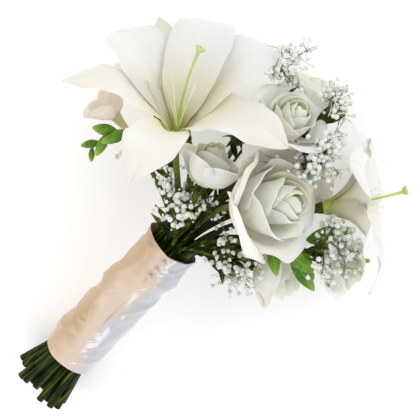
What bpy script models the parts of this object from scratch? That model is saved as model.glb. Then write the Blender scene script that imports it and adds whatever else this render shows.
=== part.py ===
"""A hand-tied bridal bouquet of white lilies, roses, freesia and baby's breath, lying on its side.

Everything is first placed in the bouquet's own frame: X runs along the bundle of stems, from the cut
ends (-X) through the satin sleeve to the flower head (+X), Y is across and Z is the side that shows when
the bouquet lies down. Its zero is the middle of the sleeve's upper rim. An empty then carries the whole
bouquet and lays it on the surface Z = 0, on the cut stems and two low blooms.
"""

import itertools
import math
import random

import bmesh
import bpy
import numpy as np
from mathutils import Matrix, Vector
from mathutils.bvhtree import BVHTree

MM = 0.001

# The bundle of stems and what holds it together
SLEEVE_LENGTH = 135 * MM
SLEEVE_RADIUS = 22.8 * MM
SLEEVE_BORE = 20.8 * MM
SLEEVE_RIPPLE = 0.75 * MM
SLEEVE_SIDES = 20
SLEEVE_RINGS = 10
STEM_PITCH = 6.1 * MM
STEM_RADIUS = 3.25 * MM
THIN_STEM_RADIUS = 2.9 * MM
BUNDLE_RINGS = 3
BUNDLE_LIFT = 5 * MM
BUNDLE_MARGIN = 3.0 * MM
STEM_END_LENGTH = 38 * MM
STEM_END_SPREAD = 1.6
STEM_END_STAGGER = 3.5 * MM
TAPE_LENGTH = 24 * MM
TAPE_START = -30 * MM
TAPE_WALL = 0.6 * MM
FIT_GAP = 0.3 * MM

# The pearl-headed pins down the sleeve's seam
PEARL_RADIUS = 2.4 * MM
PIN_RADIUS = 0.4 * MM
PIN_REACH = 9 * MM
PIN_HOLE_RADIUS = 0.8 * MM
PIN_ANGLE = math.radians(-10.9)
PIN_PLACES = (-4 * MM, -13 * MM, -22 * MM)

# Petals and leaves
PETAL_THICKNESS = 0.8 * MM
LEAF_THICKNESS = 0.8 * MM
LEAF_FACE = Vector((0.3, 0.0, 0.95))
LILY_RUFFLE = 2.0 * MM
TEPAL_RISE = 1.5 * MM
TEPAL_CLAW = 2.4 * MM
TEPAL_TIP = 1.0 * MM
HALF_OPEN_MOUTH = 0.5
INNER_INSET = 2.8 * MM
OUTER_INSET = 4.4 * MM
ROSE_SPIRAL = 0.032
ROSE_LAYER_TURN = 47
HIP_OVERLAP = 1.5 * MM

# Baby's breath: twigs, blossoms and the room they keep
TWIG_RADIUS = 0.45 * MM
BRANCH_RADII = (0.8 * MM, 0.6 * MM)
SPRAY_NECK = 1.2 * MM
BLOSSOMS_PER_BRANCH = 3.5
BRANCH_TRIES = 60
BLOSSOM_TRIES = 30
FLORET_RADIUS = 2.8 * MM
FLORET_SPACING = 2.4 * FLORET_RADIUS
CLEARANCE = 0.7 * MM

SMOOTH_ANGLE = math.radians(40)

# About how far the head end rises when the bouquet lies down
PITCH = math.radians(14.0)

# A stem takes the nearest free places in the bundle, below where its flower stands, and tries these
# eases into the curve and sideways bends until it runs clear
BUNDLE_NARROWING = 0.22
NEAREST_PLACES = 9
LEAVING_BOW = 0.3
NEAR_BUNDLE = (6.5 * MM, 17.5 * MM)
STEM_EASES = (0.30, 0.18, 0.42)
STEM_BOWS = (
    (0, 0, 0), (0, 0, -12), (0, 0, 12), (0, 12, 0), (0, -12, 0),
    (0, 10, -14), (0, -10, -14), (0, 0, -26), (0, 22, 0), (0, -22, 0),
)

WHITE = (0.93, 0.93, 0.90)
CREAM = (0.92, 0.91, 0.80)
WARM_WHITE = (0.90, 0.84, 0.76)
GREEN = (0.20, 0.33, 0.06)
BRIGHT_GREEN = (0.24, 0.46, 0.05)
DARK_GREEN = (0.09, 0.17, 0.04)
PALE_GREEN = (0.62, 0.72, 0.30)
SATIN = (0.90, 0.84, 0.78)
PEARL = (0.93, 0.88, 0.84)

# Turned profiles as (radius, height) in millimetres, with the flower's root at height 0
LILY_HUB = ((0, 0), (5.5, 0), (6.6, 6), (4.0, 8), (0, 8))
LILY_HUB_HEIGHT = 8 * MM
LILY_SWELLING = ((0, -9.5), (2.0, -9.5), (4.6, -3.0), (4.6, -FIT_GAP / MM), (0, -FIT_GAP / MM))
STIGMA = ((0, -2.5), (2.0, -1.5), (3.2, 1.0), (0, 2.4))
STYLE_RADII = (2.2 * MM, 1.2 * MM, 1.0 * MM, 1.1 * MM, 1.3 * MM)
FILAMENT_RADII = (0.8 * MM, 0.6 * MM)

# A rose's hip as rings, each with the radius and height of a sepal and of the notch beside it
HIP_LENGTH = 9 * MM
ROSE_HIP = (
    ((2.3, -9.0), (2.3, -9.0)),
    ((4.8, -5.5), (4.8, -5.5)),
    ((12.5, -9.5), (4.9, -4.55)),
    ((4.6, -3.6), (4.6, -3.6)),
    ((4.0, -FIT_GAP / MM), (4.0, -FIT_GAP / MM)),
)

# Profiles as shares of the flower's or bud's size
ROSE_HEART = ((0, 0), (0.20, 0), (0.16, 0.14), (0.12, 0.62), (0, 0.88))
FREESIA_BUD = ((0, -0.04), (0.45, 0.0), (1.0, 0.38), (0.72, 0.74), (0, 1.0))
FREESIA_FUNNEL = ((0, 0), (0.106, 0), (0.24, 0.95), (0.18, 1.15), (0, 1.15))

# The spine of a closed and of an open petal, as the corners of a curve from its claw to its lip
CLOSED_PETAL = ((0.08, 0.11), (0.30, 0.18), (0.30, 0.95), (0.12, 1.12))
OPEN_PETAL = ((0.16, 0.02), (0.86, 0.02), (0.76, 0.78), (1.06, 0.66))

# Each lily tepal: turn about the flower's axis, length, half width, the lean of its spine from that
# axis at the root, the middle and the tip, in degrees, and from 0 to 1 how full it is towards its tip.
# Every other one, from the second on, is an inner tepal.
FRONT_LILY_TEPALS = (
    (123, 122, 25, (26, 54, 130), 0.9),
    (71, 131, 25, (22, 47, 138), 0.9),
    (36, 126, 25, (26, 54, 124), 0.9),
    (-24, 112, 25, (26, 70, 128), 0.8),
    (-112, 106, 24, (26, 76, 116), 0.2),
    (166, 114, 17, (24, 64, 120), 0.6),
)
SIDE_LILY_TEPALS = (
    (5, 102, 18, (24, 72, 168), 0.7),
    (62, 90, 25, (20, 60, 128), 0.7),
    (122, 92, 18, (24, 62, 118), 0.7),
    (182, 92, 24, (20, 62, 130), 0.7),
    (242, 90, 18, (24, 60, 116), 0.7),
    (308, 94, 25, (20, 58, 122), 0.7),
)
BACK_LILY_TEPALS = (
    (0, 80, 15, (18, 32, 56), 0.6),
    (60, 98, 20, (14, 11, 30), 0.6),
    (120, 94, 17, (18, 34, 80), 0.6),
    (180, 88, 21, (15, 30, 58), 0.6),
    (240, 86, 15, (18, 34, 60), 0.6),
    (300, 90, 21, (15, 30, 66), 0.6),
)

# Name, tepals, share of them that hugs the throat, root, facing, direction of turn 0, style and its bend
LILIES = (
    ("lily_front", FRONT_LILY_TEPALS, 0.42, (86, 56, 35),
     (0.797, 0.499, 0.346), (0.635, -0.719, -0.283), 90, 14),
    ("lily_side", SIDE_LILY_TEPALS, 0.42, (115, -66, -5),
     (0.72, -0.60, -0.20), (0.657, 0.695, -0.293), 66, 5),
    ("lily_back", BACK_LILY_TEPALS, 0.8, (66, 58, -34),
     (0.40, 0.91, -0.04), (0.0, 0.2, 1.0), 62, 4),
)

# Layers of rose petals from the heart outwards: openness, petals, half angle each one wraps
FULL_LAYERS = ((0.0, 2, 100), (0.28, 3, 76), (0.60, 4, 58), (1.0, 5, 47))
LIGHT_LAYERS = ((0.12, 3, 80), (0.75, 4, 60))

# Name, layers, rows of each petal, middle of the bloom, facing, radius, relative height, first turn
ROSES = (
    ("rose_front", FULL_LAYERS, 3, (102, -30, 38), (0.78, -0.50, 0.38), 44, 1.25, 20),
    ("rose_top", LIGHT_LAYERS, 3, (152, 1, 8), (0.94, 0.10, 0.32), 34, 1.0, 50),
    ("rose_cup", LIGHT_LAYERS, 3, (80, 21, 18), (0.93, 0.30, -0.22), 30, 1.05, 100),
    ("rose_low", LIGHT_LAYERS, 3, (43, -74, -4), (0.35, -0.93, -0.10), 32, 1.05, 0),
    ("rose_edge", LIGHT_LAYERS, 3, (84, -108, -14), (0.45, -0.86, 0.22), 30, 1.05, 40),
    ("rose_tip", LIGHT_LAYERS, 2, (156, 2, -44), (0.90, 0.05, -0.40), 32, 1.0, 70),
    ("rose_under_left", LIGHT_LAYERS, 2, (98, 26, -60), (0.62, 0.26, -0.74), 31, 0.95, 10),
    ("rose_under_right", LIGHT_LAYERS, 2, (98, -46, -58), (0.62, -0.38, -0.68), 31, 0.95, 30),
)

# The freesia's comb of buds as a curve, and each bud on it: share, length, radius, lean up, side
FREESIA_COMB = ((40, 62, 2), (62, 92, 6), (38, 102, 6), (13, 101, 1))
FREESIA_BUDS = (
    (0.42, 22, 5.2, 0.9, 1),
    (0.58, 20, 4.7, 0.8, -1),
    (0.74, 18, 4.1, 0.9, 1),
    (0.88, 14.5, 3.3, 0.8, -1),
    (0.99, 11.5, 2.6, 0.4, 1),
)
FREESIA_FORK = 0.3
STALK_RADII = (1.3 * MM, 1.3 * MM, 1.6 * MM)
STALK_STRAIGHT = 3 * MM
# Name, root, facing, direction of its first petal, length and openness
FREESIA_FLORETS = (("freesia_floret", (43, 89, -7), (0.22, 0.94, 0.22), (0, 0, 1), 42, 0.85),)

# Name, curve of the leafy top, and its leaves: share, direction, length, half width and droop
LEAFY_STEMS = (
    ("leaf_sprig_front", ((64, -50, 18), (74, -56, 22), (80, -64, 25), (78, -76, 26)), (
        (0.30, (-0.5, -0.8, 0.35), 26, 5.0, 2),
        (0.62, (0.15, -0.95, 0.10), 34, 6.0, 4),
        (0.94, (-0.30, -0.92, -0.15), 36, 6.0, 4),
    )),
    ("leaf_sprig_left", ((50, 44, -50), (62, 60, -54), (72, 72, -56), (80, 82, -56)), (
        (0.20, (0.1, 0.9, 0.3), 44, 9.0, 8),
        (0.60, (0.7, 0.4, -0.4), 42, 8.5, 6),
        (0.95, (0.6, 0.6, -0.5), 34, 8.0, 6),
    )),
    ("leaf_sprig_right", ((50, -52, -44), (60, -66, -48), (68, -80, -50), (76, -90, -48)), (
        (0.20, (-0.1, -0.9, 0.3), 42, 9.0, 8),
        (0.60, (0.8, -0.5, 0.0), 40, 8.0, 6),
        (0.95, (0.3, -0.9, -0.2), 40, 8.0, 6),
    )),
)

# Name, crown, facing, reach, blossoms and seed of each spray of baby's breath
SPRAYS = (
    ("baby_breath_collar", (46, 14, 22), (0.75, 0.05, 0.65), 30, 10, 11),
    ("baby_breath_low", (36, -46, 18), (0.45, -0.70, 0.50), 27, 7, 12),
    ("baby_breath_edge", (104, -98, 14), (0.60, -0.70, 0.40), 28, 8, 13),
    ("baby_breath_heart", (152, -36, 20), (0.50, -0.30, 0.80), 30, 9, 14),
    ("baby_breath_top", (180, 36, -2), (0.80, 0.35, 0.25), 26, 6, 15),
    ("baby_breath_tip", (186, -22, -8), (0.95, -0.20, 0.05), 24, 6, 16),
    ("baby_breath_left", (42, 70, -28), (0.10, 0.95, -0.25), 26, 6, 17),
    ("baby_breath_under", (124, -8, -66), (0.80, 0.0, -0.50), 26, 6, 18),
)

# The sprays that are two stems of baby's breath held together
TWO_STEMMED = ("baby_breath_low", "baby_breath_collar")


def smooth(x):
    """0 below 0, 1 above 1 and an even ease between them."""
    x = np.clip(x, 0, 1)
    return x * x * (3 - 2 * x)


def mm(point):
    """A point given in millimetres, as a vector in metres."""
    return Vector(point) * MM


def bezier(points, t):
    """Points of a cubic Bezier curve at each t."""
    p0, p1, p2, p3 = (np.asarray(p, float) for p in points)
    t = np.asarray(t, float)[..., None]
    return (1 - t) ** 3 * p0 + 3 * (1 - t) ** 2 * t * p1 + 3 * (1 - t) * t**2 * p2 + t**3 * p3


def placement(origin, facing, across):
    """The matrix of a flower: its +Z looks along facing and its +X leans towards across."""
    z = Vector(facing).normalized()
    x = Vector(across)
    x = (x - x.dot(z) * z).normalized()
    turn = Matrix((x, z.cross(x), z)).transposed().to_4x4()
    return Matrix.Translation(origin) @ turn


def material(name, colour, roughness):
    """A plain surface of one colour, which is not metal."""
    made = bpy.data.materials.get(name)
    if made is None:
        made = bpy.data.materials.new(name)
        made.use_nodes = True
        made.diffuse_color = (*colour, 1)
        shader = made.node_tree.nodes["Principled BSDF"]
        shader.inputs["Base Color"].default_value = (*colour, 1)
        shader.inputs["Roughness"].default_value = roughness
        shader.inputs["Metallic"].default_value = 0.0
    return made


def grid_faces(rows, cols):
    """Triangles that cover a grid of rows by cols points."""
    faces = []
    for i in range(rows - 1):
        for j in range(cols - 1):
            a = i * cols + j
            b = a + cols
            faces += [(a, b + 1, a + 1), (a, b, b + 1)]
    return faces


def grid_rim(rows, cols):
    """The points round the outside of a grid, in order from its first corner."""
    rim = list(range(cols))
    rim += [i * cols + cols - 1 for i in range(1, rows)]
    rim += [(rows - 1) * cols + j for j in range(cols - 2, -1, -1)]
    return rim + [i * cols for i in range(rows - 2, 0, -1)]


def blade(grid, thickness, root):
    """A thin closed solid round a grid of points, cut into triangles alike on both faces.

    Its first row is drawn together at the root point into a claw.
    """
    points = np.asarray(grid, float)
    rows, cols = points.shape[:2]
    normal = np.cross(np.gradient(points, axis=0), np.gradient(points, axis=1))
    normal /= np.linalg.norm(normal, axis=2, keepdims=True)
    half = normal * thickness / 2
    apart = half[0].mean(axis=0)
    over = [*(points + half).reshape(-1, 3), np.asarray(root) + apart]
    under = [*(points - half).reshape(-1, 3), np.asarray(root) - apart]
    claw = rows * cols
    faces = grid_faces(rows, cols) + [(claw, j, j + 1) for j in range(cols - 1)]
    rim = [claw, *grid_rim(rows, cols)[cols - 1:], 0]
    shift = len(over)
    faces += [(c + shift, b + shift, a + shift) for a, b, c in faces]
    for a, b in zip(rim, rim[1:] + rim[:1]):
        faces += [(a, b, b + shift), (a, b + shift, a + shift)]
    return over + under, faces


def tube(path, radii, sides, first_turn=0.5):
    """A closed tube of straight sides along a path, with flat ends."""
    path = [Vector(p) for p in path]
    verts, faces = [], []
    along = (path[1] - path[0]).normalized()
    side = Vector((0, 1, 0)) if abs(along.y) < 0.9 else Vector((0, 0, 1))
    side = (side - side.dot(along) * along).normalized()
    for k, point in enumerate(path):
        before, after = path[max(k - 1, 0)], path[min(k + 1, len(path) - 1)]
        heading = (after - before).normalized()
        side = (side - side.dot(heading) * heading).normalized()
        up = heading.cross(side)
        for n in range(sides):
            turn = 2 * math.pi * (n + first_turn) / sides
            verts.append(point + radii[k] * (math.cos(turn) * side + math.sin(turn) * up))
    for k in range(len(path) - 1):
        for n in range(sides):
            a, b = k * sides + n, k * sides + (n + 1) % sides
            faces += [(a, b, b + sides), (a, b + sides, a + sides)]
    last = (len(path) - 1) * sides
    for n in range(1, sides - 1):
        faces += [(0, n + 1, n), (last, last + n, last + n + 1)]
    return verts, faces


def stacked_faces(sides, rings):
    """Triangles through a first point, rings of points and a last point, in that order."""
    faces = []
    last = 1 + (rings - 1) * sides
    for n in range(sides):
        after = (n + 1) % sides
        faces.append((0, 1 + after, 1 + n))
        for k in range(rings - 1):
            a, b = 1 + k * sides + n, 1 + k * sides + after
            faces += [(a, b, b + sides), (a, b + sides, a + sides)]
        faces.append((last + n, last + after, last + sides))
    return faces


def turned(profile, sides, wide=MM, high=MM):
    """A closed solid turned about Z from a profile that starts and ends on the axis, at this scale."""
    rings = [((radius, height), (radius, height)) for radius, height in profile[1:-1]]
    return starred(profile[0][1], rings, profile[-1][1], sides, wide, high)


def starred(bottom, rings, top, sides, wide=MM, high=MM):
    """A closed solid about Z through rings that each give the radius and height of a point and a notch."""
    verts = [Vector((0, 0, bottom * high))]
    for ring in rings:
        for n in range(sides):
            radius, height = ring[n % 2]
            turn = 2 * math.pi * n / sides
            spoke = Vector((math.cos(turn), math.sin(turn), 0))
            verts.append(spoke * radius * wide + Vector((0, 0, height * high)))
    verts.append(Vector((0, 0, top * high)))
    return verts, stacked_faces(sides, len(rings))


def moved(shell, matrix):
    """The same shell, carried by a matrix."""
    verts, faces = shell
    return [matrix @ Vector(v) for v in verts], faces


def mesh_object(name, shell, finish):
    """An object from one shell, with its faces turned outwards."""
    mesh = bpy.data.meshes.new(name)
    verts, faces = shell
    mesh.from_pydata([tuple(v) for v in verts], [], faces)
    work = bmesh.new()
    work.from_mesh(mesh)
    bmesh.ops.recalc_face_normals(work, faces=work.faces)
    work.to_mesh(mesh)
    work.free()
    mesh.materials.append(finish)
    obj = bpy.data.objects.new(name, mesh)
    bpy.context.scene.collection.objects.link(obj)
    return obj


def evaluated_mesh(obj):
    """The object's mesh with its modifiers applied."""
    bpy.context.view_layer.update()
    return bpy.data.meshes.new_from_object(obj.evaluated_get(bpy.context.evaluated_depsgraph_get()))


def combine(obj, shells, operation, solver="EXACT"):
    """Joins shells to the object, or cuts them from it, in one Boolean on a collection."""
    others = bpy.data.collections.new(obj.name + "_shells")
    bpy.context.scene.collection.children.link(others)
    for k, shell in enumerate(shells):
        other = mesh_object(f"{obj.name}_shell_{k}", shell, obj.data.materials[0])
        bpy.context.scene.collection.objects.unlink(other)
        others.objects.link(other)
    joint = obj.modifiers.new("joint", "BOOLEAN")
    joint.operation = operation
    joint.operand_type = "COLLECTION"
    joint.collection = others
    joint.solver = solver
    mesh = evaluated_mesh(obj)
    obj.modifiers.clear()
    obj.data = mesh
    for other in list(others.objects):
        bpy.data.objects.remove(other)
    bpy.data.collections.remove(others)


def fused(name, shells, finish, solver="EXACT"):
    """One object from overlapping shells. Crowded petals and twigs take the faster manifold joining."""
    obj = mesh_object(name, shells[0], finish)
    combine(obj, shells[1:], "UNION", solver)
    return obj


def tepal_spine(length, leans, inset, t):
    """How far out and up a tepal's spine runs from its claw, and how it leans, at each share t."""
    at_root, at_middle, at_tip = np.radians(leans)
    lean = at_root + (at_middle - at_root) * smooth(t / 0.5)
    lean += (at_tip - at_middle) * smooth((t - 0.45) / 0.55)
    step = length / (len(t) - 1)
    between = (lean[1:] + lean[:-1]) / 2
    out = inset + np.concatenate([[0], np.cumsum(np.sin(between) * step)])
    up = TEPAL_RISE + np.concatenate([[0], np.cumsum(np.cos(between) * step)])
    return out, up, lean


def tepal_grid(turn, length, half_width, leans, fullness, inset, mouth, rows, cols):
    """Points of one lily tepal, which hugs the throat up to its mouth, opens, and rolls back at its tip."""
    t = np.linspace(0, 1, rows + 1)
    out, up, lean = tepal_spine(length, leans, inset, t)
    swell = np.sin(np.pi * t ** (1.1 + 0.25 * fullness)) ** (1 - 0.4 * fullness)
    width = TEPAL_CLAW * (1 - t) ** 2 + half_width * swell
    width = np.maximum(width, TEPAL_TIP)
    hug = 1 - smooth(t / mouth)
    cup = 0.26 - 0.40 * smooth((t - 0.3) / 0.7)
    grid = np.zeros((rows + 1, cols + 1, 3))
    for j, s in enumerate(np.linspace(-1, 1, cols + 1)):
        x = s * width
        around = hug * np.clip(x / np.maximum(out, 4 * MM), -0.9, 0.9)
        phase = math.radians(turn) + (2 if s > 0 else 0)
        wave = LILY_RUFFLE * abs(s) ** 3 * np.sin(np.pi * t) * np.sin(15 * t + phase)
        rise = (1 - hug) * (cup * s * s * width - 0.07 * half_width * (s == 0)) + wave
        radial = out - np.cos(lean) * rise
        flat = x * (1 - hug)
        grid[:, j, 0] = radial * np.cos(around) - flat * np.sin(around)
        grid[:, j, 1] = radial * np.sin(around) + flat * np.cos(around)
        grid[:, j, 2] = up + np.sin(lean) * rise
    return grid @ np.array(Matrix.Rotation(math.radians(turn), 3, "Z")).T


def petal_grid(radius, tall, openness, turn, half_angle, rows, cols=3):
    """Points of one rose petal: a cupped patch round the flower's axis with a rounded, rolled-out lip."""
    profile = (1 - openness) * np.array(CLOSED_PETAL) + openness * np.array(OPEN_PETAL)
    grid = np.zeros((rows + 1, cols + 1, 3))
    t = np.linspace(0, 1, rows + 1)
    for j, s in enumerate(np.linspace(-1, 1, cols + 1)):
        reach = 1 - 0.22 * abs(s) ** 3
        curve = bezier(profile, t * reach) * radius
        out = curve[:, 0] + ROSE_SPIRAL * radius * s
        angle = math.radians(turn) + math.radians(half_angle) * s * (0.5 + 0.5 * smooth(t))
        grid[:, j, 0] = out * np.cos(angle)
        grid[:, j, 1] = out * np.sin(angle)
        grid[:, j, 2] = curve[:, 1] * tall
    return grid


def lily_bloom(name, tepals, mouth):
    """A lily's six tepals, grown together at the root."""
    shells = [turned(LILY_HUB, 6)]
    for k, (turn, length, half_width, leans, fullness) in enumerate(tepals):
        inner = k % 2 == 1
        inset = INNER_INSET if inner else OUTER_INSET
        cols = 4 if mouth < HALF_OPEN_MOUTH else 2
        grid = tepal_grid(turn, length * MM, half_width * MM, leans, fullness, inset, mouth, 6, cols)
        shells.append(blade(grid[1:], PETAL_THICKNESS, grid[0, cols // 2]))
    return fused(name, shells, material("lily_petal", WHITE, 0.5), "MANIFOLD")


def lily_style(name, tepals, length, bend):
    """The green style with its stigma, and a filament towards each tepal."""
    floor = LILY_HUB_HEIGHT + FIT_GAP
    path = [(bend * (z / length) ** 2, 0, z) for z in np.linspace(floor, length, len(STYLE_RADII))]
    knob = Matrix.Translation(path[-1]) @ Matrix.Rotation(2 * math.atan2(bend, length), 4, "Y")
    shells = [tube(path, STYLE_RADII, 5), moved(turned(STIGMA, 5), knob)]
    for k, (turn, _, _, leans, _) in enumerate(tepals):
        turn = math.radians(turn)
        reach = (0.06 + 0.10 * min(1, leans[1] / 60)) * length
        heading = Vector((math.cos(turn), math.sin(turn), 0))
        foot = heading * FILAMENT_RADII[0] + Vector((0, 0, floor + (1 + k) * MM))
        head = heading * reach + Vector((0, 0, (0.70 + 0.02 * (k % 3)) * length))
        shells.append(tube([foot, head], FILAMENT_RADII, 3))
    return fused(name, shells, material("style", PALE_GREEN, 0.5), "MANIFOLD")


def lily(name, tepals, mouth, root, facing, across, style_length, style_bend):
    """An open lily with its style, placed in the bouquet."""
    place = placement(mm(root), facing, across)
    lily_bloom(name + "_bloom", tepals, mouth).matrix_world = place
    lily_style(name + "_style", tepals, style_length * MM, style_bend * MM).matrix_world = place
    return place


def rose(name, layers, rows, middle, facing, radius, tall, first_turn):
    """A rose: layers of petals round a closed heart, fused where they meet the base."""
    size = radius * MM
    axis = Vector(facing).normalized()
    across = (0, 0, 1) if abs(axis.z) < 0.8 else (1, 0, 0)
    place = placement(mm(middle) - 0.45 * size * tall * axis, facing, across)
    shells = [turned(ROSE_HEART, 6, size, size * tall)]
    for k, (openness, count, half_angle) in enumerate(layers):
        for n in range(count):
            turn = first_turn + ROSE_LAYER_TURN * k + 360 * n / count
            grid = petal_grid(size, tall, openness, turn, half_angle, 2 if k == 0 else rows)
            shells.append(blade(grid[1:], PETAL_THICKNESS, grid[0].mean(axis=0)))
    bloom = fused(name + "_bloom", shells, material("rose_petal", CREAM, 0.5), "MANIFOLD")
    bloom.matrix_world = place
    return place


def sampled(path, spacing=1.5 * MM):
    """Points along a run of straight pieces, close together."""
    points = []
    for start, end in zip(path, path[1:]):
        count = max(1, math.ceil((end - start).length / spacing))
        points += [start.lerp(end, k / count) for k in range(count)]
    return points + [path[-1]]


class Crowd:
    """Surfaces that are already in place, so that stems and sprays can grow clear of them."""

    def __init__(self):
        self.trees = []

    def add(self, obj):
        """Remembers an object's surface in the bouquet's frame."""
        bpy.context.view_layer.update()
        verts = [obj.matrix_world @ v.co for v in obj.data.vertices]
        faces = [tuple(p.vertices) for p in obj.data.polygons]
        self.trees.append(BVHTree.FromPolygons(verts, faces))

    def clear(self, points, margin):
        """True if every point keeps this far from every surface."""
        return all(tree.find_nearest(p, margin)[0] is None for tree in self.trees for p in points)


class Bundle:
    """The places of the stems where they are bound: a honeycomb, less its corners and the pins' place."""

    def __init__(self, crowd):
        self.crowd = crowd
        self.free = []
        rings = BUNDLE_RINGS
        for i in range(-rings, rings + 1):
            for j in range(-rings, rings + 1):
                corner = {abs(i), abs(j), abs(i + j)} == {0, rings}
                pins = (i, j) == (-2, rings)
                if abs(i + j) <= rings and not corner and not pins:
                    across, high = i + j / 2, j * math.sqrt(3) / 2
                    self.free.append(Vector((BUNDLE_LIFT, across * STEM_PITCH, high * STEM_PITCH)))

    def route(self, root, facing, neck):
        """The way from a free place to a flower's root that is short and clear of what stands there."""
        wanted = Vector((BUNDLE_LIFT, root.y * BUNDLE_NARROWING, root.z * BUNDLE_NARROWING))
        axis = Vector(facing).normalized()
        ranked = sorted(self.free, key=lambda spot: (spot - wanted).length)[:NEAREST_PLACES]
        for spot, ease, bow in itertools.product(ranked, STEM_EASES, STEM_BOWS):
            reach = ease * (root - spot).length
            leave = spot + Vector((reach, 0, 0)) + LEAVING_BOW * mm(bow)
            curve = (spot, leave, root - axis * reach + mm(bow), root)
            way = [Vector(p) for p in bezier(curve, np.linspace(0, 1, 6))]
            if self.runs_clear(way, neck):
                self.free.remove(spot)
                return way
        raise ValueError("no clear way from the bundle to " + str(root))

    def runs_clear(self, way, neck):
        """True if a way keeps a wide margin beside the bundle and a narrow one beyond it."""
        first, last = NEAR_BUNDLE
        near = [p for p in sampled(way) if first < p.x < last]
        far = [p for p in sampled(way) if p.x >= last]
        return self.crowd.clear(near, BUNDLE_MARGIN) and self.crowd.clear(far, neck + CLEARANCE)


def stem_tube(way, radius, neck, sides=6, top=(), tip=None):
    """A stem along its way, with its straight length through the sleeve and its splayed cut end.

    It may go on along a top, where it thins from its neck to its tip.
    """
    y, z = way[0].y, way[0].z
    stagger = STEM_END_STAGGER * math.sin(7919 * y + 6151 * z)
    end = Vector((stagger - SLEEVE_LENGTH - STEM_END_LENGTH, y * STEM_END_SPREAD, z * STEM_END_SPREAD))
    path = [end, Vector((-SLEEVE_LENGTH - 1 * MM, y, z)), *way, *top]
    radii = [radius, radius] + [radius + (neck - radius) * min(1, k / 2) for k in range(len(way))]
    radii += [neck + (tip - neck) * (k + 1) / len(top) for k in range(len(top))]
    return tube(path, radii, sides)


def rose_stem(name, bundle, place):
    """A rose's stem with the hip under the bloom and five sepals that fold back from it."""
    axis = (place.to_3x3() @ Vector((0, 0, 1))).normalized()
    root = place.translation - axis * (HIP_LENGTH - HIP_OVERLAP)
    hip = moved(starred(ROSE_HIP[0][0][1], ROSE_HIP, ROSE_HIP[-1][0][1], 10), place)
    stem = stem_tube(bundle.route(root, axis, 2.3 * MM), STEM_RADIUS, 2.2 * MM)
    return fused(name + "_stem", [hip, stem], material("stem", GREEN, 0.55))


def lily_stem(name, bundle, place):
    """A lily's smooth stem, a little swollen where the tepals grow from it."""
    axis = (place.to_3x3() @ Vector((0, 0, 1))).normalized()
    root = place.translation - axis * (FIT_GAP + 8 * MM)
    way = bundle.route(root, axis, 2.7 * MM)
    shells = [stem_tube(way, STEM_RADIUS, 2.6 * MM), moved(turned(LILY_SWELLING, 6), place)]
    return fused(name + "_stem", shells, material("stem", GREEN, 0.55))


def freesia_comb(bundle):
    """The freesia's stem, which turns over into a comb of green buds, smaller and smaller to its tip."""
    points = [mm(p) for p in FREESIA_COMB]
    comb = [Vector(p) for p in bezier(points, np.linspace(0, 1, 6))]
    way = bundle.route(comb[0], comb[1] - comb[0], 2.2 * MM)
    shells = [stem_tube(way, THIN_STEM_RADIUS, 2.0 * MM, 5, comb[1:], 1.0 * MM)]
    for _, foot, facing, *_ in FREESIA_FLORETS:
        start = Vector(bezier(points, [FREESIA_FORK])[0])
        ahead = Vector(facing).normalized()
        end = mm(foot) - ahead * FIT_GAP
        shells.append(tube([start, end - ahead * STALK_STRAIGHT, end], STALK_RADII, 5))
    for share, length, radius, lean, side in FREESIA_BUDS:
        root, ahead = (Vector(p) for p in bezier(points, [share, min(share + 0.02, 1.02)]))
        ahead = (ahead - root).normalized()
        across = Vector((0, 0, 1)).cross(ahead).normalized() * side
        facing = ahead * 0.9 + (Vector((0, 0, lean)) + across).normalized() * 0.75
        bud = turned(FREESIA_BUD, 5, radius * MM, length * MM)
        shells.append(moved(bud, placement(root, facing, ahead)))
    return fused("freesia_comb", shells, material("bud", BRIGHT_GREEN, 0.5))


def freesia_floret(name, root, facing, across, size, openness):
    """An open freesia floret: a slender funnel under three outer and three inner petals."""
    radius = size / 2 * MM
    shells = [turned(FREESIA_FUNNEL, 6, radius, radius)]
    for n in range(6):
        grid = petal_grid(radius, 1.2, openness - 0.25 * (n % 2), 60 * n, 38, 3)
        grid[:, :, 2] += 0.8 * radius
        shells.append(blade(grid[1:], PETAL_THICKNESS, grid[0].mean(axis=0)))
    floret = fused(name, shells, material("freesia_petal", WARM_WHITE, 0.5), "MANIFOLD")
    floret.matrix_world = placement(mm(root), facing, across)


def leaf_grid(length, half_width, droop, rows=4):
    """Points of a lance-shaped leaf along +X with a folded midrib, which bends down towards its tip."""
    t = np.linspace(0, 1, rows + 1)
    width = half_width * np.sin(np.pi * np.clip(0.06 + 0.93 * t, 0, 1)) ** 0.8
    width = np.maximum(width, 0.7 * MM)
    grid = np.zeros((rows + 1, 3, 3))
    for j, s in enumerate((-1, 0, 1)):
        grid[:, j, 0] = length * t
        grid[:, j, 1] = s * width
        grid[:, j, 2] = 0.3 * width * abs(s) - droop * t**2
    return grid


def leafy_stem(name, curve, leaves, bundle):
    """A stem with lance-shaped leaves along its top."""
    points = [mm(p) for p in curve]
    top = [Vector(p) for p in bezier(points, np.linspace(0, 1, 4))]
    way = bundle.route(top[0], top[1] - top[0], 2.0 * MM)
    shells = [stem_tube(way, THIN_STEM_RADIUS, 1.8 * MM, 5, top[1:], 0.9 * MM)]
    for share, along, length, half_width, droop in leaves:
        root = Vector(bezier(points, [share])[0])
        along = Vector(along).normalized()
        face = LEAF_FACE - LEAF_FACE.dot(along) * along
        grid = leaf_grid(length * MM, half_width * MM, droop * MM)
        leaf = blade(grid[1:], LEAF_THICKNESS, grid[0, 1])
        shells.append(moved(leaf, placement(root, face, along)))
    return fused(name, shells, material("leaf", BRIGHT_GREEN, 0.5))


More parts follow.
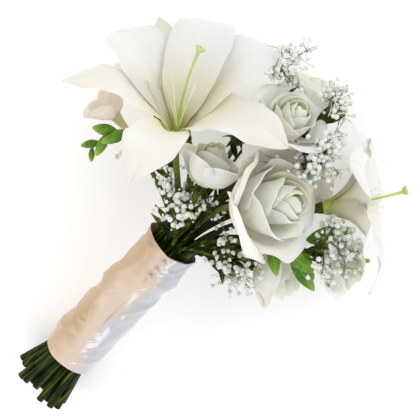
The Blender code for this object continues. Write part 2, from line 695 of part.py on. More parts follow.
class Spray:
    """Twigs and blossoms of baby's breath, grown at random from a fork but clear of the flowers."""

    def __init__(self, top, axis, size, seed, crowd):
        self.draw = random.Random(seed)
        self.axis = axis
        self.size = size
        self.crowd = crowd
        self.fork = top - axis * size * 0.5
        self.ends = [top]
        self.shells = []

    def away(self, lean):
        """A direction drawn at random, leaning forwards."""
        scatter = Vector([self.draw.gauss(0, 1) for _ in range(3)]).normalized()
        return (self.axis * lean + scatter).normalized()

    def grow_branches(self, count):
        """Adds side branches from the fork until there are this many ends."""
        for _ in range(BRANCH_TRIES):
            end = self.fork + self.away(0.9) * self.size * self.draw.uniform(0.5, 0.9)
            roomy = self.crowd.clear(sampled([self.fork, end]), CLEARANCE + BRANCH_RADII[0])
            if len(self.ends) <= count and roomy:
                self.shells.append(tube([self.fork, end], BRANCH_RADII, 3))
                self.ends.append(end)

    def grow_blossoms(self, count):
        """Adds twigs from the branches, each swelling into a blossom."""
        placed = []
        for k in range(count * BLOSSOM_TRIES):
            start = self.fork.lerp(self.ends[k % len(self.ends)], self.draw.uniform(0.6, 1.0))
            end = start + self.away(0.5) * self.size * self.draw.uniform(0.35, 0.6)
            apart = all((end - other).length > FLORET_SPACING for other in placed)
            roomy = self.crowd.clear([end], FLORET_RADIUS + CLEARANCE)
            roomy = roomy and self.crowd.clear(sampled([start, end]), CLEARANCE)
            if len(placed) < count and apart and roomy:
                placed.append(end)
                self.shells.append(self.twig(start, end))

    def twig(self, start, end):
        """One twig with the blossom at its end."""
        ahead = (end - start).normalized() * FLORET_RADIUS
        path = [start, end - ahead, end, end + 0.8 * ahead]
        return tube(path, [TWIG_RADIUS, TWIG_RADIUS, FLORET_RADIUS, 0.4 * FLORET_RADIUS], 3)


def baby_breath(name, crown, facing, reach, blossoms, seed, bundle, crowd):
    """A spray of baby's breath on its stem from the bundle."""
    top = mm(crown)
    axis = Vector(facing).normalized()
    spray = Spray(top, axis, reach * MM, seed, crowd)
    way = bundle.route(spray.fork, axis, SPRAY_NECK)
    spray.grow_branches(blossoms / BLOSSOMS_PER_BRANCH)
    spray.grow_blossoms(blossoms)
    shells = [stem_tube(way, THIN_STEM_RADIUS, SPRAY_NECK, 5, [top], 0.7 * MM), *spray.shells]
    if name in TWO_STEMMED:
        way = bundle.route(spray.fork, axis, SPRAY_NECK)
        shells.append(stem_tube(way, THIN_STEM_RADIUS, SPRAY_NECK, 5))
    return fused(name, shells, material("baby_breath", WHITE, 0.7), "MANIFOLD")


def sleeve_radius(x, angle):
    """The satin's outer radius along its length and round it, with the soft rolls of a tight wrap."""
    share = -x / SLEEVE_LENGTH
    roll = math.sin(2 * math.pi * (2.6 * share) + 1.4 * math.sin(angle + 0.5))
    roll += 0.6 * math.sin(2 * math.pi * (4.3 * share) - 2 * angle)
    return SLEEVE_RADIUS + SLEEVE_RIPPLE * roll


def sleeve_rim(angle):
    """How far the sleeve's upper rim stands above its middle: two scallops that meet at the pins."""
    off = (angle - PIN_ANGLE + math.pi) % (2 * math.pi) - math.pi
    return 2.5 * MM * abs(math.sin(off)) + 1.2 * MM * math.cos(off) - 1.0 * MM * math.sin(angle)


def around(x, radius, angle):
    """A point at an angle round the bundle, measured from its upper side."""
    return Vector((x, radius * math.sin(angle), radius * math.cos(angle)))


def ring_shell(rings):
    """A closed solid through rings of points, the last joined to the first."""
    count = len(rings[0])
    faces = []
    for k in range(len(rings)):
        start, end = k * count, (k + 1) % len(rings) * count
        for n in range(count):
            after = (n + 1) % count
            faces += [(start + n, start + after, end + after), (start + n, end + after, end + n)]
    return [v for ring in rings for v in ring], faces


def sleeve_turns():
    """The angles of the corners of the satin and of the tape."""
    return [2 * math.pi * n / SLEEVE_SIDES for n in range(SLEEVE_SIDES)]


def sleeve():
    """The satin wrap, a soft tube round the stems."""
    turns = sleeve_turns()
    rings = []
    for k in range(SLEEVE_RINGS):
        share = k / (SLEEVE_RINGS - 1)
        lip = 0.3 * MM if k in (0, SLEEVE_RINGS - 1) else 0
        places = [sleeve_rim(a) * (1 - share) ** 2 - SLEEVE_LENGTH * share for a in turns]
        rings.append([around(x, sleeve_radius(x, a) - lip, a) for x, a in zip(places, turns)])
    rings.append([around(-SLEEVE_LENGTH, SLEEVE_BORE, a) for a in turns])
    rings.append([around(sleeve_rim(a), SLEEVE_BORE, a) for a in turns])
    return mesh_object("satin_sleeve", ring_shell(rings), material("satin", SATIN, 0.35))


def binding_tape():
    """The stem tape that binds the bundle under the satin."""
    turns = sleeve_turns()
    outer = SLEEVE_BORE - FIT_GAP
    corners = [(TAPE_START, outer), (TAPE_START - TAPE_LENGTH, outer)]
    corners += [(x, radius - TAPE_WALL) for x, radius in reversed(corners)]
    rings = [[around(x, radius, a) for a in turns] for x, radius in corners]
    mesh_object("binding_tape", ring_shell(rings), material("tape", DARK_GREEN, 0.8))


def pin_place(x):
    """The matrix of a pin: its +Z points out of the sleeve at this place along it."""
    out = around(0, 1, PIN_ANGLE)
    seat = sleeve_radius(x, PIN_ANGLE) + 0.4 * MM
    return placement(Vector((x, 0, 0)) + out * seat, out, (1, 0, 0))


def pearl_pin(name, x):
    """A corsage pin: a pearl on a steel shank pushed through the satin between two stems."""
    rings = np.radians((36, 72, 108, 144))
    ball = [(0, 0), *((math.sin(a), 1 - math.cos(a)) for a in rings), (0, 2)]
    pearl = turned(ball, 7, PEARL_RADIUS, PEARL_RADIUS)
    path = [(0, 0, PEARL_RADIUS), (0, 0, 1 * MM - PIN_REACH), (0, 0, -PIN_REACH)]
    shank = tube(path, [PIN_RADIUS, PIN_RADIUS, 0.15 * MM], 5)
    fused(name, [pearl, shank], material("pearl", PEARL, 0.25)).matrix_world = pin_place(x)


def pierce(obj):
    """Opens the pins' holes through the sleeve."""
    path = [(0, 0, 3 * MM), (0, 0, -PIN_REACH)]
    holes = [moved(tube(path, [PIN_HOLE_RADIUS] * 2, 6), pin_place(x)) for x in PIN_PLACES]
    combine(obj, holes, "DIFFERENCE")


def clear_scene():
    """Removes whatever the file holds."""
    for obj in list(bpy.data.objects):
        bpy.data.objects.remove(obj)


def pieces():
    """Every piece of the bouquet."""
    return [obj for obj in bpy.data.objects if obj.type == "MESH"]


def shade():
    """Shades every piece smooth, but for its sharp edges."""
    for obj in pieces():
        obj.data.shade_smooth()
        obj.data.set_sharp_from_angle(angle=SMOOTH_ANGLE)


def all_points():
    """Every vertex of every piece in the bouquet's frame."""
    bpy.context.view_layer.update()
    return np.array([obj.matrix_world @ v.co for obj in pieces() for v in obj.data.vertices])


def resting_turn(points):
    """The turn that lays the cut stems and the two low blooms, left and right, on one flat surface."""
    x, y = points[:, 0], points[:, 1]
    groups = (x < -SLEEVE_LENGTH, (x > 0) & (y > 0), (x > 0) & (y < 0))
    turn = Matrix.Rotation(-PITCH, 3, "Y")
    for _ in range(6):
        heights = points @ np.array(turn)[2]
        feet = [Vector(points[group][np.argmin(heights[group])]) for group in groups]
        up = (feet[2] - feet[0]).cross(feet[1] - feet[0]).normalized()
        ahead = Vector((1, 0, 0))
        ahead = (ahead - ahead.dot(up) * up).normalized()
        turn = Matrix((ahead, up.cross(ahead), up))
    return turn.to_4x4()


def lay_down():
    """Carries the bouquet on an empty and lays it on the surface, with its middle over the origin."""
    points = all_points()
    turn = resting_turn(points)
    corners = points @ np.array(turn)[:3, :3].T
    low, high = corners.min(axis=0), corners.max(axis=0)
    middle = (low + high) / 2
    carrier = bpy.data.objects.new("bouquet", None)
    bpy.context.scene.collection.objects.link(carrier)
    carrier.matrix_world = Matrix.Translation((-middle[0], -middle[1], -low[2])) @ turn
    for obj in pieces():
        obj.parent = carrier


def build():
    """Makes every piece of the bouquet, flowers first and then what grows between them."""
    clear_scene()
    crowd = Crowd()
    bundle = Bundle(crowd)
    lily_places = {row[0]: lily(*row) for row in LILIES}
    rose_places = {row[0]: rose(*row) for row in ROSES}
    for row in FREESIA_FLORETS:
        freesia_floret(*row)
    for obj in pieces():
        crowd.add(obj)
    for name, place in lily_places.items():
        crowd.add(lily_stem(name, bundle, place))
    for name, place in rose_places.items():
        crowd.add(rose_stem(name, bundle, place))
    crowd.add(freesia_comb(bundle))
    for row in LEAFY_STEMS:
        crowd.add(leafy_stem(*row, bundle))
    for row in SPRAYS:
        crowd.add(baby_breath(*row, bundle, crowd))

    pierce(sleeve())
    binding_tape()
    for k, x in enumerate(PIN_PLACES):
        pearl_pin(f"pearl_pin_{k + 1}", x)
    shade()
    lay_down()


build()
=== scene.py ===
"""The looks of a hand-tied bridal bouquet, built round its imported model.

Every flower, stem, leaf and spray is worked out in the bouquet's own frame: X runs along the bundle from the
cut stems to the flower head, Z is the side that shows, and zero is the middle of the sleeve's upper rim. The
resting place then carries the finished meshes to where the bouquet lies.
"""

import itertools
import logging
import math
import random
from dataclasses import dataclass, field
from enum import Enum

import bpy
import numpy as np
from mathutils import Matrix, Vector
from mathutils.bvhtree import BVHTree


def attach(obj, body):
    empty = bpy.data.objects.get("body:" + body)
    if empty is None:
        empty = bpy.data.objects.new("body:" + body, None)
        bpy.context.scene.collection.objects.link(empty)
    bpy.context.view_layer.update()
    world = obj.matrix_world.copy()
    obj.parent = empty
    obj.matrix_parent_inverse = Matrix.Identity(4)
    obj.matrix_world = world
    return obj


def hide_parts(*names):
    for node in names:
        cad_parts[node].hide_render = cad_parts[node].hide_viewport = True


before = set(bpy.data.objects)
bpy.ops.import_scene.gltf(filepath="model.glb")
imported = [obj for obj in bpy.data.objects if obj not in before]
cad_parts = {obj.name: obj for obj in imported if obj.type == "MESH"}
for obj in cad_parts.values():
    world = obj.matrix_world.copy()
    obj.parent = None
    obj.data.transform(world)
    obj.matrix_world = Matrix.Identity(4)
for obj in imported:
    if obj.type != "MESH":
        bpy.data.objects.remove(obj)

log = logging.getLogger("bouquet")

MM = 0.001
SHARP = math.radians(50)
FULL_TURN = 6.283
STEM_FOOT = 3.2 * MM
STALK_FOOT = 2.9 * MM
STEM_SIDES = 18
STALK_SIDES = 14
ROOT = "root"

Colour = tuple[float, float, float]
Point = tuple[float, float, float]
Shell = tuple[np.ndarray, list[tuple[int, ...]]]


def smooth(x: np.ndarray | float) -> np.ndarray:
    """An even ease.

    Args:
        x: Where along the ease, 0 at its start and 1 at its end.

    Returns:
        0 below 0, 1 above 1 and a smooth rise between them.
    """
    x = np.clip(x, 0, 1)
    return x * x * (3 - 2 * x)


def mm(point: Point) -> Vector:
    """A point given in millimetres, as a vector in metres."""
    return Vector(point) * MM


def bezier(points: list, t: np.ndarray) -> np.ndarray:
    """Points of a cubic Bezier curve.

    Args:
        points: Its four corners.
        t: The shares of the curve that are wanted.

    Returns:
        One point for each share.
    """
    p0, p1, p2, p3 = (np.asarray(p, float) for p in points)
    t = np.asarray(t, float)[..., None]
    return (1 - t) ** 3 * p0 + 3 * (1 - t) ** 2 * t * p1 + 3 * (1 - t) * t**2 * p2 + t**3 * p3


def placement(origin: Vector, facing: Vector, across: Vector) -> Matrix:
    """The place of a flower or leaf.

    Args:
        origin: Where its root stands.
        facing: Where its +Z looks.
        across: Where its +X leans.

    Returns:
        The matrix that carries it there.
    """
    z = Vector(facing).normalized()
    x = Vector(across)
    x = (x - x.dot(z) * z).normalized()
    return Matrix.Translation(origin) @ Matrix((x, z.cross(x), z)).transposed().to_4x4()


def shown(name: str, mesh: bpy.types.Mesh) -> bpy.types.Object:
    """Puts a mesh into the scene, smooth but for its sharp edges.

    Args:
        name: What the object is called.
        mesh: Its mesh.

    Returns:
        The object.
    """
    mesh.shade_smooth()
    mesh.set_sharp_from_angle(angle=SHARP)
    made = bpy.data.objects.new(name, mesh)
    bpy.context.scene.collection.objects.link(made)
    return made


def carried(points: np.ndarray, matrix: Matrix) -> np.ndarray:
    """Points carried by a matrix."""
    turn = np.array(matrix)
    return points @ turn[:3, :3].T + turn[:3, 3]


@dataclass(frozen=True)
class RestingPlace:
    """How the bouquet lies on the surface, from its own frame to the model's."""

    pitch: float = 11.9131
    roll: float = 1.2454
    rim: Point = (-12.502, -6.385, 63.674)

    def matrix(self) -> Matrix:
        """The matrix from the bouquet's own frame to the model's."""
        raised = Matrix.Rotation(-math.radians(self.pitch), 4, "Y")
        rolled = Matrix.Rotation(math.radians(self.roll), 4, "X")
        return Matrix.Translation(mm(self.rim)) @ raised @ rolled


REST = RestingPlace().matrix()


# Finishes


class Sketch:
    """The node tree of one material, with short ways to add to it."""

    def __init__(self, name: str) -> None:
        """Starts a material of this name with its Principled shader."""
        self.material = bpy.data.materials.new(name)
        self.material.use_nodes = True
        self.nodes = self.material.node_tree.nodes
        self.links = self.material.node_tree.links
        self.shader = self.nodes["Principled BSDF"]

    def feed(self, socket: bpy.types.NodeSocket, value: object) -> None:
        """Links a socket to another, or sets it to a constant.

        Args:
            socket: The input.
            value: The output to link, or the number or colour to set.
        """
        if isinstance(value, bpy.types.NodeSocket):
            self.links.new(value, socket)
        elif isinstance(value, tuple) and len(value) == 3 and socket.type == "RGBA":
            socket.default_value = (*value, 1)
        else:
            socket.default_value = value

    def set(self, **values: object) -> None:
        """Sets the shader's inputs, named with underscores for their spaces."""
        for name, value in values.items():
            self.feed(self.shader.inputs[name.replace("_", " ")], value)

    def value(self, name: str) -> bpy.types.NodeSocket:
        """A value that the mesh stores at each point."""
        node = self.nodes.new("ShaderNodeAttribute")
        node.attribute_name = name
        return node.outputs["Fac"]

    def place(self, stretch: Point = (1, 1, 1)) -> bpy.types.NodeSocket:
        """Object coordinates, stretched."""
        node = self.nodes.new("ShaderNodeMapping")
        self.links.new(self.nodes.new("ShaderNodeTexCoord").outputs["Object"], node.inputs["Vector"])
        node.inputs["Scale"].default_value = stretch
        return node.outputs["Vector"]

    def joined(self, x: object, y: object, z: object = 0.0) -> bpy.types.NodeSocket:
        """A vector of three values."""
        node = self.nodes.new("ShaderNodeCombineXYZ")
        for socket, value in zip(node.inputs, (x, y, z)):
            self.feed(socket, value)
        return node.outputs["Vector"]

    def noise(self, vector: bpy.types.NodeSocket, scale: float, detail: float = 2.0) -> bpy.types.NodeSocket:
        """A noise from 0 to 1 on a vector."""
        node = self.nodes.new("ShaderNodeTexNoise")
        self.links.new(vector, node.inputs["Vector"])
        node.inputs["Scale"].default_value = scale
        node.inputs["Detail"].default_value = detail
        return node.outputs["Fac"]

    def math(self, operation: str, a: object, b: object = 0.0) -> bpy.types.NodeSocket:
        """A sum, product or other operation on two values."""
        node = self.nodes.new("ShaderNodeMath")
        node.operation = operation
        self.feed(node.inputs[0], a)
        self.feed(node.inputs[1], b)
        return node.outputs[0]

    def ease(self, value: bpy.types.NodeSocket, start: float, end: float) -> bpy.types.NodeSocket:
        """A smooth step of a value.

        Args:
            value: What the step follows.
            start: Where the step gives 0.
            end: Where it gives 1.

        Returns:
            The socket that carries the step.
        """
        node = self.nodes.new("ShaderNodeMapRange")
        node.interpolation_type = "SMOOTHSTEP"
        self.feed(node.inputs["Value"], value)
        low, high = min(start, end), max(start, end)
        node.inputs["From Min"].default_value = low
        node.inputs["From Max"].default_value = high
        node.inputs["To Min"].default_value = 0.0 if start < end else 1.0
        node.inputs["To Max"].default_value = 1.0 if start < end else 0.0
        return node.outputs["Result"]

    def mix(self, factor: object, a: object, b: object) -> bpy.types.NodeSocket:
        """A colour between two colours.

        Args:
            factor: 0 for the first colour, 1 for the second.
            a: The first colour.
            b: The second colour.

        Returns:
            The socket that carries the colour.
        """
        node = self.nodes.new("ShaderNodeMix")
        node.data_type = "RGBA"
        self.feed(node.inputs[0], factor)
        self.feed(node.inputs[6], a)
        self.feed(node.inputs[7], b)
        return node.outputs[2]

    def bump(self, height: bpy.types.NodeSocket, strength: float, distance: float) -> None:
        """Gives the shader small relief from a height."""
        node = self.nodes.new("ShaderNodeBump")
        node.inputs["Strength"].default_value = strength
        node.inputs["Distance"].default_value = distance
        self.links.new(height, node.inputs["Height"])
        self.links.new(node.outputs["Normal"], self.shader.inputs["Normal"])


@dataclass(frozen=True)
class PetalFinish:
    """Velvety petal tissue: a tinted throat that deepens inwards, a pale body and fine veins along it."""

    name: str
    body: Colour
    throat: Colour
    heart: Colour
    reach: float
    veins: float = 26.0
    relief: float = 0.25
    deep: Colour = (0.50, 0.52, 0.12)
    deep_reach: float = 0.0
    peach_and_painted_shade: Colour = (0.86, 0.74, 0.58)
    peach_and_painted_shade_share: float = 0.5
    glow: float = 0.45
    roughness: float = 0.5

    def material(self) -> bpy.types.Material:
        """The procedural material of this finish."""
        s = Sketch(self.name)
        along, across, tone = s.value("along"), s.value("across"), s.value("tone")
        cloud = s.noise(s.place(), 42.0)
        colour = s.mix(s.ease(tone, 0.0, 1.0), self.heart, self.body)
        # Random peach patches on the outer petals: a cream-peach tint of the petals that also stands in for
        # painted warm shade.
        peach_and_shade_patch = s.math("MULTIPLY", s.ease(s.noise(s.place(), 17.0, 1.0), 0.40, 0.66), s.ease(tone, 0.2, 1.0))
        colour = s.mix(s.math("MULTIPLY", peach_and_shade_patch, self.peach_and_painted_shade_share), colour, self.peach_and_painted_shade)
        depth = s.math("ADD", along, s.math("MULTIPLY", s.math("SUBTRACT", cloud, 0.5), 0.25))
        colour = s.mix(s.ease(depth, self.reach, 0.02), colour, self.throat)
        if self.deep_reach:
            colour = s.mix(s.ease(depth, self.deep_reach, 0.0), colour, self.deep)
        veined = s.joined(s.math("MULTIPLY", across, self.veins), s.math("MULTIPLY", along, 1.6), tone)
        vein = s.noise(veined, 1.0, 3.0)
        shade = tuple(c * k for c, k in zip(self.body, (0.93, 0.90, 0.78)))
        colour = s.mix(s.math("MULTIPLY", s.ease(vein, 0.52, 0.70), 0.45), colour, shade)
        grain = s.noise(s.place(), 1500.0, 1.0)
        s.bump(s.math("ADD", vein, s.math("MULTIPLY", grain, 0.25)), self.relief, 0.4 * MM)
        s.set(Base_Color=colour, Roughness=self.roughness, Subsurface_Weight=self.glow)
        s.set(Subsurface_Radius=(1.0, 0.9, 0.6), Subsurface_Scale=4.0 * MM)
        s.set(Sheen_Weight=0.12, Sheen_Roughness=0.5, Specular_IOR_Level=0.35)
        return s.material


@dataclass(frozen=True)
class GreenFinish:
    """Plant green: lengthwise streaking, which on the stems is painted highlight, paler patches, and a pale
    cut face where a stem is cut.
    """

    name: str
    deep: Colour
    fresh: Colour
    tip: Colour
    streak_and_highlight_stretch: Point = (60.0, 900.0, 900.0)
    roughness: float = 0.42
    shine: float = 0.35
    streak_and_highlight_share: float = 0.4

    def material(self) -> bpy.types.Material:
        """The procedural material of this finish."""
        s = Sketch(self.name)
        along, across, cut = s.value("along"), s.value("across"), s.value("cut")
        streaks_and_highlights = s.noise(s.place(self.streak_and_highlight_stretch), 1.0, 3.0)
        patches = s.noise(s.place(), 55.0, 2.0)
        colour = s.mix(s.ease(patches, 0.35, 0.68), self.deep, self.fresh)
        # Lengthwise streaks in the tip colour: real streaking on leaves, painted highlights on the stems.
        colour = s.mix(s.math("MULTIPLY", s.ease(streaks_and_highlights, 0.5, 0.75), self.streak_and_highlight_share), colour, self.tip)
        colour = s.mix(s.ease(along, 0.55, 1.0), colour, s.mix(0.5, colour, self.tip))
        rib = s.ease(s.math("ABSOLUTE", across), 0.10, 0.02)
        colour = s.mix(s.math("MULTIPLY", rib, s.math("MULTIPLY", s.value("leafy"), 0.6)), colour, self.tip)
        colour = s.mix(cut, colour, (0.50, 0.56, 0.28))
        s.bump(s.math("ADD", streaks_and_highlights, s.math("MULTIPLY", patches, 0.4)), 0.3, 0.3 * MM)
        s.set(Base_Color=colour, Roughness=self.roughness, Subsurface_Weight=0.08)
        s.set(Subsurface_Radius=(0.5, 1.0, 0.2), Subsurface_Scale=1.0 * MM)
        s.set(Specular_IOR_Level=self.shine, Coat_Weight=0.2 * self.shine, Coat_Roughness=0.35)
        return s.material


@dataclass(frozen=True)
class SatinFinish:
    """Satin ribbon: a fine lengthwise float of threads with a soft gloss that stretches across them, with
    painted warm light on one side and painted cool shade on the other.
    """

    name: str
    warm: Colour
    middle: Colour
    cool: Colour

    def material(self) -> bpy.types.Material:
        """The procedural material of this finish."""
        s = Sketch(self.name)
        along, across, tone = s.value("along"), s.value("across"), s.value("tone")
        # Round the handle the cool colour is painted cool light and shade, the warm colour is painted warm
        # light, and the middle colour is the cloth's own.
        colour = s.mix(s.ease(tone, 0.0, 0.55), self.cool, self.middle)
        colour = s.mix(s.ease(tone, 0.65, 1.1), colour, self.warm)
        thread = s.joined(s.math("MULTIPLY", across, 900.0), s.math("MULTIPLY", along, 90.0))
        weave = s.noise(thread, 1.0, 2.0)
        colour = s.mix(s.math("MULTIPLY", weave, 0.12), colour, (0.62, 0.58, 0.54))
        s.bump(weave, 0.12, 0.05 * MM)
        s.set(Base_Color=colour, Roughness=0.24, Anisotropic=0.5, Specular_IOR_Level=1.0)
        s.set(Sheen_Weight=0.15, Sheen_Roughness=0.3, Subsurface_Weight=0.05, Subsurface_Scale=1.0 * MM)
        return s.material


@dataclass(frozen=True)
class PlainFinish:
    """A surface of one colour family with soft clouding and a little relief."""

    name: str
    base: Colour
    cloud: Colour
    scale: float
    roughness: float
    metallic: float = 0.0
    relief: float = 0.0
    coat: float = 0.0
    glow: float = 0.0
    lit: float = 0.0

    def material(self) -> bpy.types.Material:
        """The procedural material of this finish."""
        s = Sketch(self.name)
        clouds = s.noise(s.place(), self.scale, 3.0)
        s.set(Base_Color=s.mix(s.ease(clouds, 0.4, 0.65), self.base, self.cloud))
        s.set(Roughness=self.roughness, Metallic=self.metallic, Coat_Weight=self.coat, Coat_Roughness=0.12)
        s.set(Subsurface_Weight=self.glow, Subsurface_Scale=1.0 * MM)
        s.set(Emission_Color=self.base, Emission_Strength=self.lit)
        if self.relief:
            s.bump(clouds, self.relief, 0.3 * MM)
        return s.material


class Finish(Enum):
    """Every finish on the bouquet."""

    LILY = PetalFinish(
        "lily_petal", (0.84, 0.825, 0.785), (0.80, 0.72, 0.44), (0.86, 0.82, 0.72), 0.66, 30.0,
        deep_reach=0.22,
    )
    ROSE = PetalFinish(
        "rose_petal", (0.93, 0.93, 0.87), (0.86, 0.88, 0.52), (0.92, 0.93, 0.66), 0.42, 20.0, 0.12,
        peach_and_painted_shade_share=0.6, glow=0.6,
    )
    FREESIA = PetalFinish(
        "freesia_petal", (0.86, 0.76, 0.66), (0.74, 0.66, 0.36), (0.84, 0.74, 0.6), 0.25, 18.0
    )
    STYLE = GreenFinish("style_green", (0.42, 0.54, 0.14), (0.54, 0.62, 0.22), (0.62, 0.66, 0.30))
    FILAMENT = GreenFinish("filament_pale", (0.74, 0.80, 0.50), (0.82, 0.86, 0.62), (0.90, 0.92, 0.76))
    # The stem green is near black, painted shade for the gaps between the packed stems, and its bright
    # streaks are painted highlights.
    STEM = GreenFinish(
        "stem_green", (0.003, 0.007, 0.001), (0.022, 0.042, 0.003), (0.19, 0.23, 0.025),
        (12.0, 420.0, 420.0), 0.5, 0.1, 0.8,
    )
    LEAF = GreenFinish("leaf_green", (0.05, 0.16, 0.004), (0.13, 0.32, 0.010), (0.34, 0.52, 0.06))
    BUD = GreenFinish("bud_green", (0.05, 0.17, 0.004), (0.16, 0.34, 0.010), (0.50, 0.62, 0.08))
    TWIG = GreenFinish("twig_brown_green", (0.09, 0.085, 0.03), (0.16, 0.15, 0.06), (0.28, 0.25, 0.12))
    BLOSSOM = PlainFinish("blossom_white", (0.93, 0.92, 0.87), (0.86, 0.83, 0.74), 900.0, 0.7, glow=0.3)
    # Satin: painted warm light, its own peach, and painted cool shade.
    SATIN = SatinFinish("satin_ribbon", (0.54, 0.36, 0.18), (0.74, 0.59, 0.46), (0.52, 0.53, 0.58))
    PEARL = PlainFinish(
        "pearl_lustre", (0.66, 0.48, 0.42), (0.74, 0.60, 0.54), 700.0, 0.14, coat=1.0, glow=0.1
    )
    STEEL = PlainFinish("pin_steel", (0.62, 0.62, 0.62), (0.50, 0.50, 0.50), 900.0, 0.25, metallic=1.0)
    TAPE = PlainFinish("stem_tape", (0.09, 0.17, 0.04), (0.13, 0.22, 0.07), 1400.0, 0.85, relief=0.6)
    FLOOR = PlainFinish("pale_floor", (0.97, 0.97, 0.97), (0.96, 0.96, 0.96), 6.0, 0.9, lit=0.20)


class FinishShelf:
    """Makes each finish's material once."""

    def __init__(self) -> None:
        """Starts an empty shelf."""
        self.made: dict[Finish, bpy.types.Material] = {}

    def take(self, finish: Finish) -> bpy.types.Material:
        """The material of a finish."""
        if finish not in self.made:
            self.made[finish] = finish.value.material()
        return self.made[finish]


SHELF = FinishShelf()


# Meshes


class MeshDraft:
    """Points, faces and per-point values of one piece while it is being made."""

    VALUES = ("along", "across", "tone", "leafy")

    def __init__(self) -> None:
        """Starts an empty draft."""
        self.points: list[np.ndarray] = []
        self.faces: list[tuple[int, ...]] = []
        self.slots: list[int] = []
        self.values: dict[str, list[np.ndarray]] = {name: [] for name in self.VALUES}
        self.count = 0

    def add(self, shell: Shell, matrix: Matrix | None = None, slot: int = 0, **values: object) -> None:
        """Adds a closed shell.

        Args:
            shell: Its points and faces.
            matrix: What carries it, in the bouquet's frame.
            slot: Its material, by place in the piece's list.
            values: What each point stores, as one number or one for each point.
        """
        points, faces = shell
        if matrix is not None:
            points = carried(points, matrix)
        self.points.append(points)
        self.faces += [tuple(i + self.count for i in face) for face in faces]
        self.slots += [slot] * len(faces)
        for name in self.VALUES:
            self.values[name].append(np.broadcast_to(np.asarray(values.get(name, 0.0), float), len(points)))
        self.count += len(points)

    def object(self, name: str, finishes: list[Finish]) -> bpy.types.Object:
        """The draft as an object in its resting place.

        Args:
            name: The object's name.
            finishes: Its materials, in the order of the slots.

        Returns:
            The linked object, shaded smooth but for sharp edges.
        """
        mesh = bpy.data.meshes.new(name)
        mesh.from_pydata(carried(np.concatenate(self.points), REST).tolist(), [], self.faces)
        for label, parts in self.values.items():
            mesh.attributes.new(label, "FLOAT", "POINT").data.foreach_set("value", np.concatenate(parts))
        for finish in finishes:
            mesh.materials.append(SHELF.take(finish))
        mesh.polygons.foreach_set("material_index", self.slots)
        return shown(name, mesh)


def blade_shell(grid: np.ndarray, thickness: np.ndarray) -> tuple[Shell, np.ndarray, np.ndarray]:
    """A thin closed solid round a grid of points.

    Args:
        grid: Rows of points along the blade, each from its left edge to its right.
        thickness: How thick it is at each point.

    Returns:
        The shell, and each point's share along the blade and across it, from -1 to 1.
    """
    rows, cols = grid.shape[:2]
    normal = np.cross(np.gradient(grid, axis=0), np.gradient(grid, axis=1))
    normal /= np.maximum(np.linalg.norm(normal, axis=2, keepdims=True), 1e-12)
    half = normal * thickness[..., None] / 2
    points = np.concatenate([(grid + half).reshape(-1, 3), (grid - half).reshape(-1, 3)])
    shift = rows * cols
    faces = []
    for i, j in itertools.product(range(rows - 1), range(cols - 1)):
        a, d = i * cols + j, (i + 1) * cols + j
        faces += [(a, d, d + 1, a + 1), (a + shift, a + 1 + shift, d + 1 + shift, d + shift)]
    rim = [*range(cols), *(i * cols + cols - 1 for i in range(1, rows))]
    rim += [(rows - 1) * cols + j for j in range(cols - 2, -1, -1)]
    rim += [i * cols for i in range(rows - 2, 0, -1)]
    faces += [(a, b, b + shift, a + shift) for a, b in zip(rim, rim[1:] + rim[:1])]
    along, across = np.meshgrid(np.linspace(0, 1, rows), np.linspace(-1, 1, cols), indexing="ij")
    return (points, faces), np.tile(along.ravel(), 2), np.tile(across.ravel(), 2)


def edge_thinned(rows: int, cols: int, middle: float, edge: float) -> np.ndarray:
    """The thickness of a blade that thins towards its edges and its tip."""
    along, across = np.meshgrid(np.linspace(0, 1, rows), np.linspace(-1, 1, cols), indexing="ij")
    return edge + (middle - edge) * (1 - np.abs(across) ** 2.5) * (1 - along**4)


def turned_shell(profile: np.ndarray, sides: int, lobes: int = 0, lobed: float = 0.0) -> Shell:
    """A closed solid turned about Z.

    Args:
        profile: Radius and height of each ring, the first and last on the axis.
        sides: How many points each ring has.
        lobes: How many lobes its rings have.
        lobed: How far the lobes stand out, as a share of the radius.

    Returns:
        Its points and faces.
    """
    turns = 2 * math.pi * np.arange(sides) / sides
    swell = 1 + lobed * np.cos(lobes * turns)
    rings = [np.column_stack([r * swell * np.cos(turns), r * swell * np.sin(turns), np.full(sides, z)])
             for r, z in profile[1:-1]]
    points = np.concatenate([[(0, 0, profile[0][1])], *rings, [(0, 0, profile[-1][1])]])
    last = 1 + (len(rings) - 1) * sides
    faces: list[tuple[int, ...]] = []
    for n in range(sides):
        after = (n + 1) % sides
        faces.append((0, 1 + after, 1 + n))
        for k in range(len(rings) - 1):
            a, b = 1 + k * sides + n, 1 + k * sides + after
            faces.append((a, b, b + sides, a + sides))
        faces.append((last + n, last + after, last + sides))
    return points, faces


def rounded_profile(corners: list[tuple[float, float]], count: int, wide: float, high: float) -> np.ndarray:
    """A smooth profile through corners.

    Args:
        corners: Radius and height of each corner.
        count: How many points the profile has.
        wide: What the radii are scaled by.
        high: What the heights are scaled by.

    Returns:
        The profile's points.
    """
    knots = np.array(corners, float)
    knots = np.concatenate([[2 * knots[0] - knots[1]], knots, [2 * knots[-1] - knots[-2]]])
    points = []
    for share in np.linspace(0, len(corners) - 1, count):
        k = min(int(share), len(corners) - 2)
        t = share - k
        a, b, c, d = knots[k:k + 4]
        points.append(0.5 * (2 * b + (c - a) * t + (2 * a - 5 * b + 4 * c - d) * t**2
                             + (3 * b - a - 3 * c + d) * t**3))
    profile = np.array(points)
    profile[:, 0] = np.maximum(profile[:, 0], 0)
    profile[[0, -1], 0] = 0
    return profile * (wide, high)


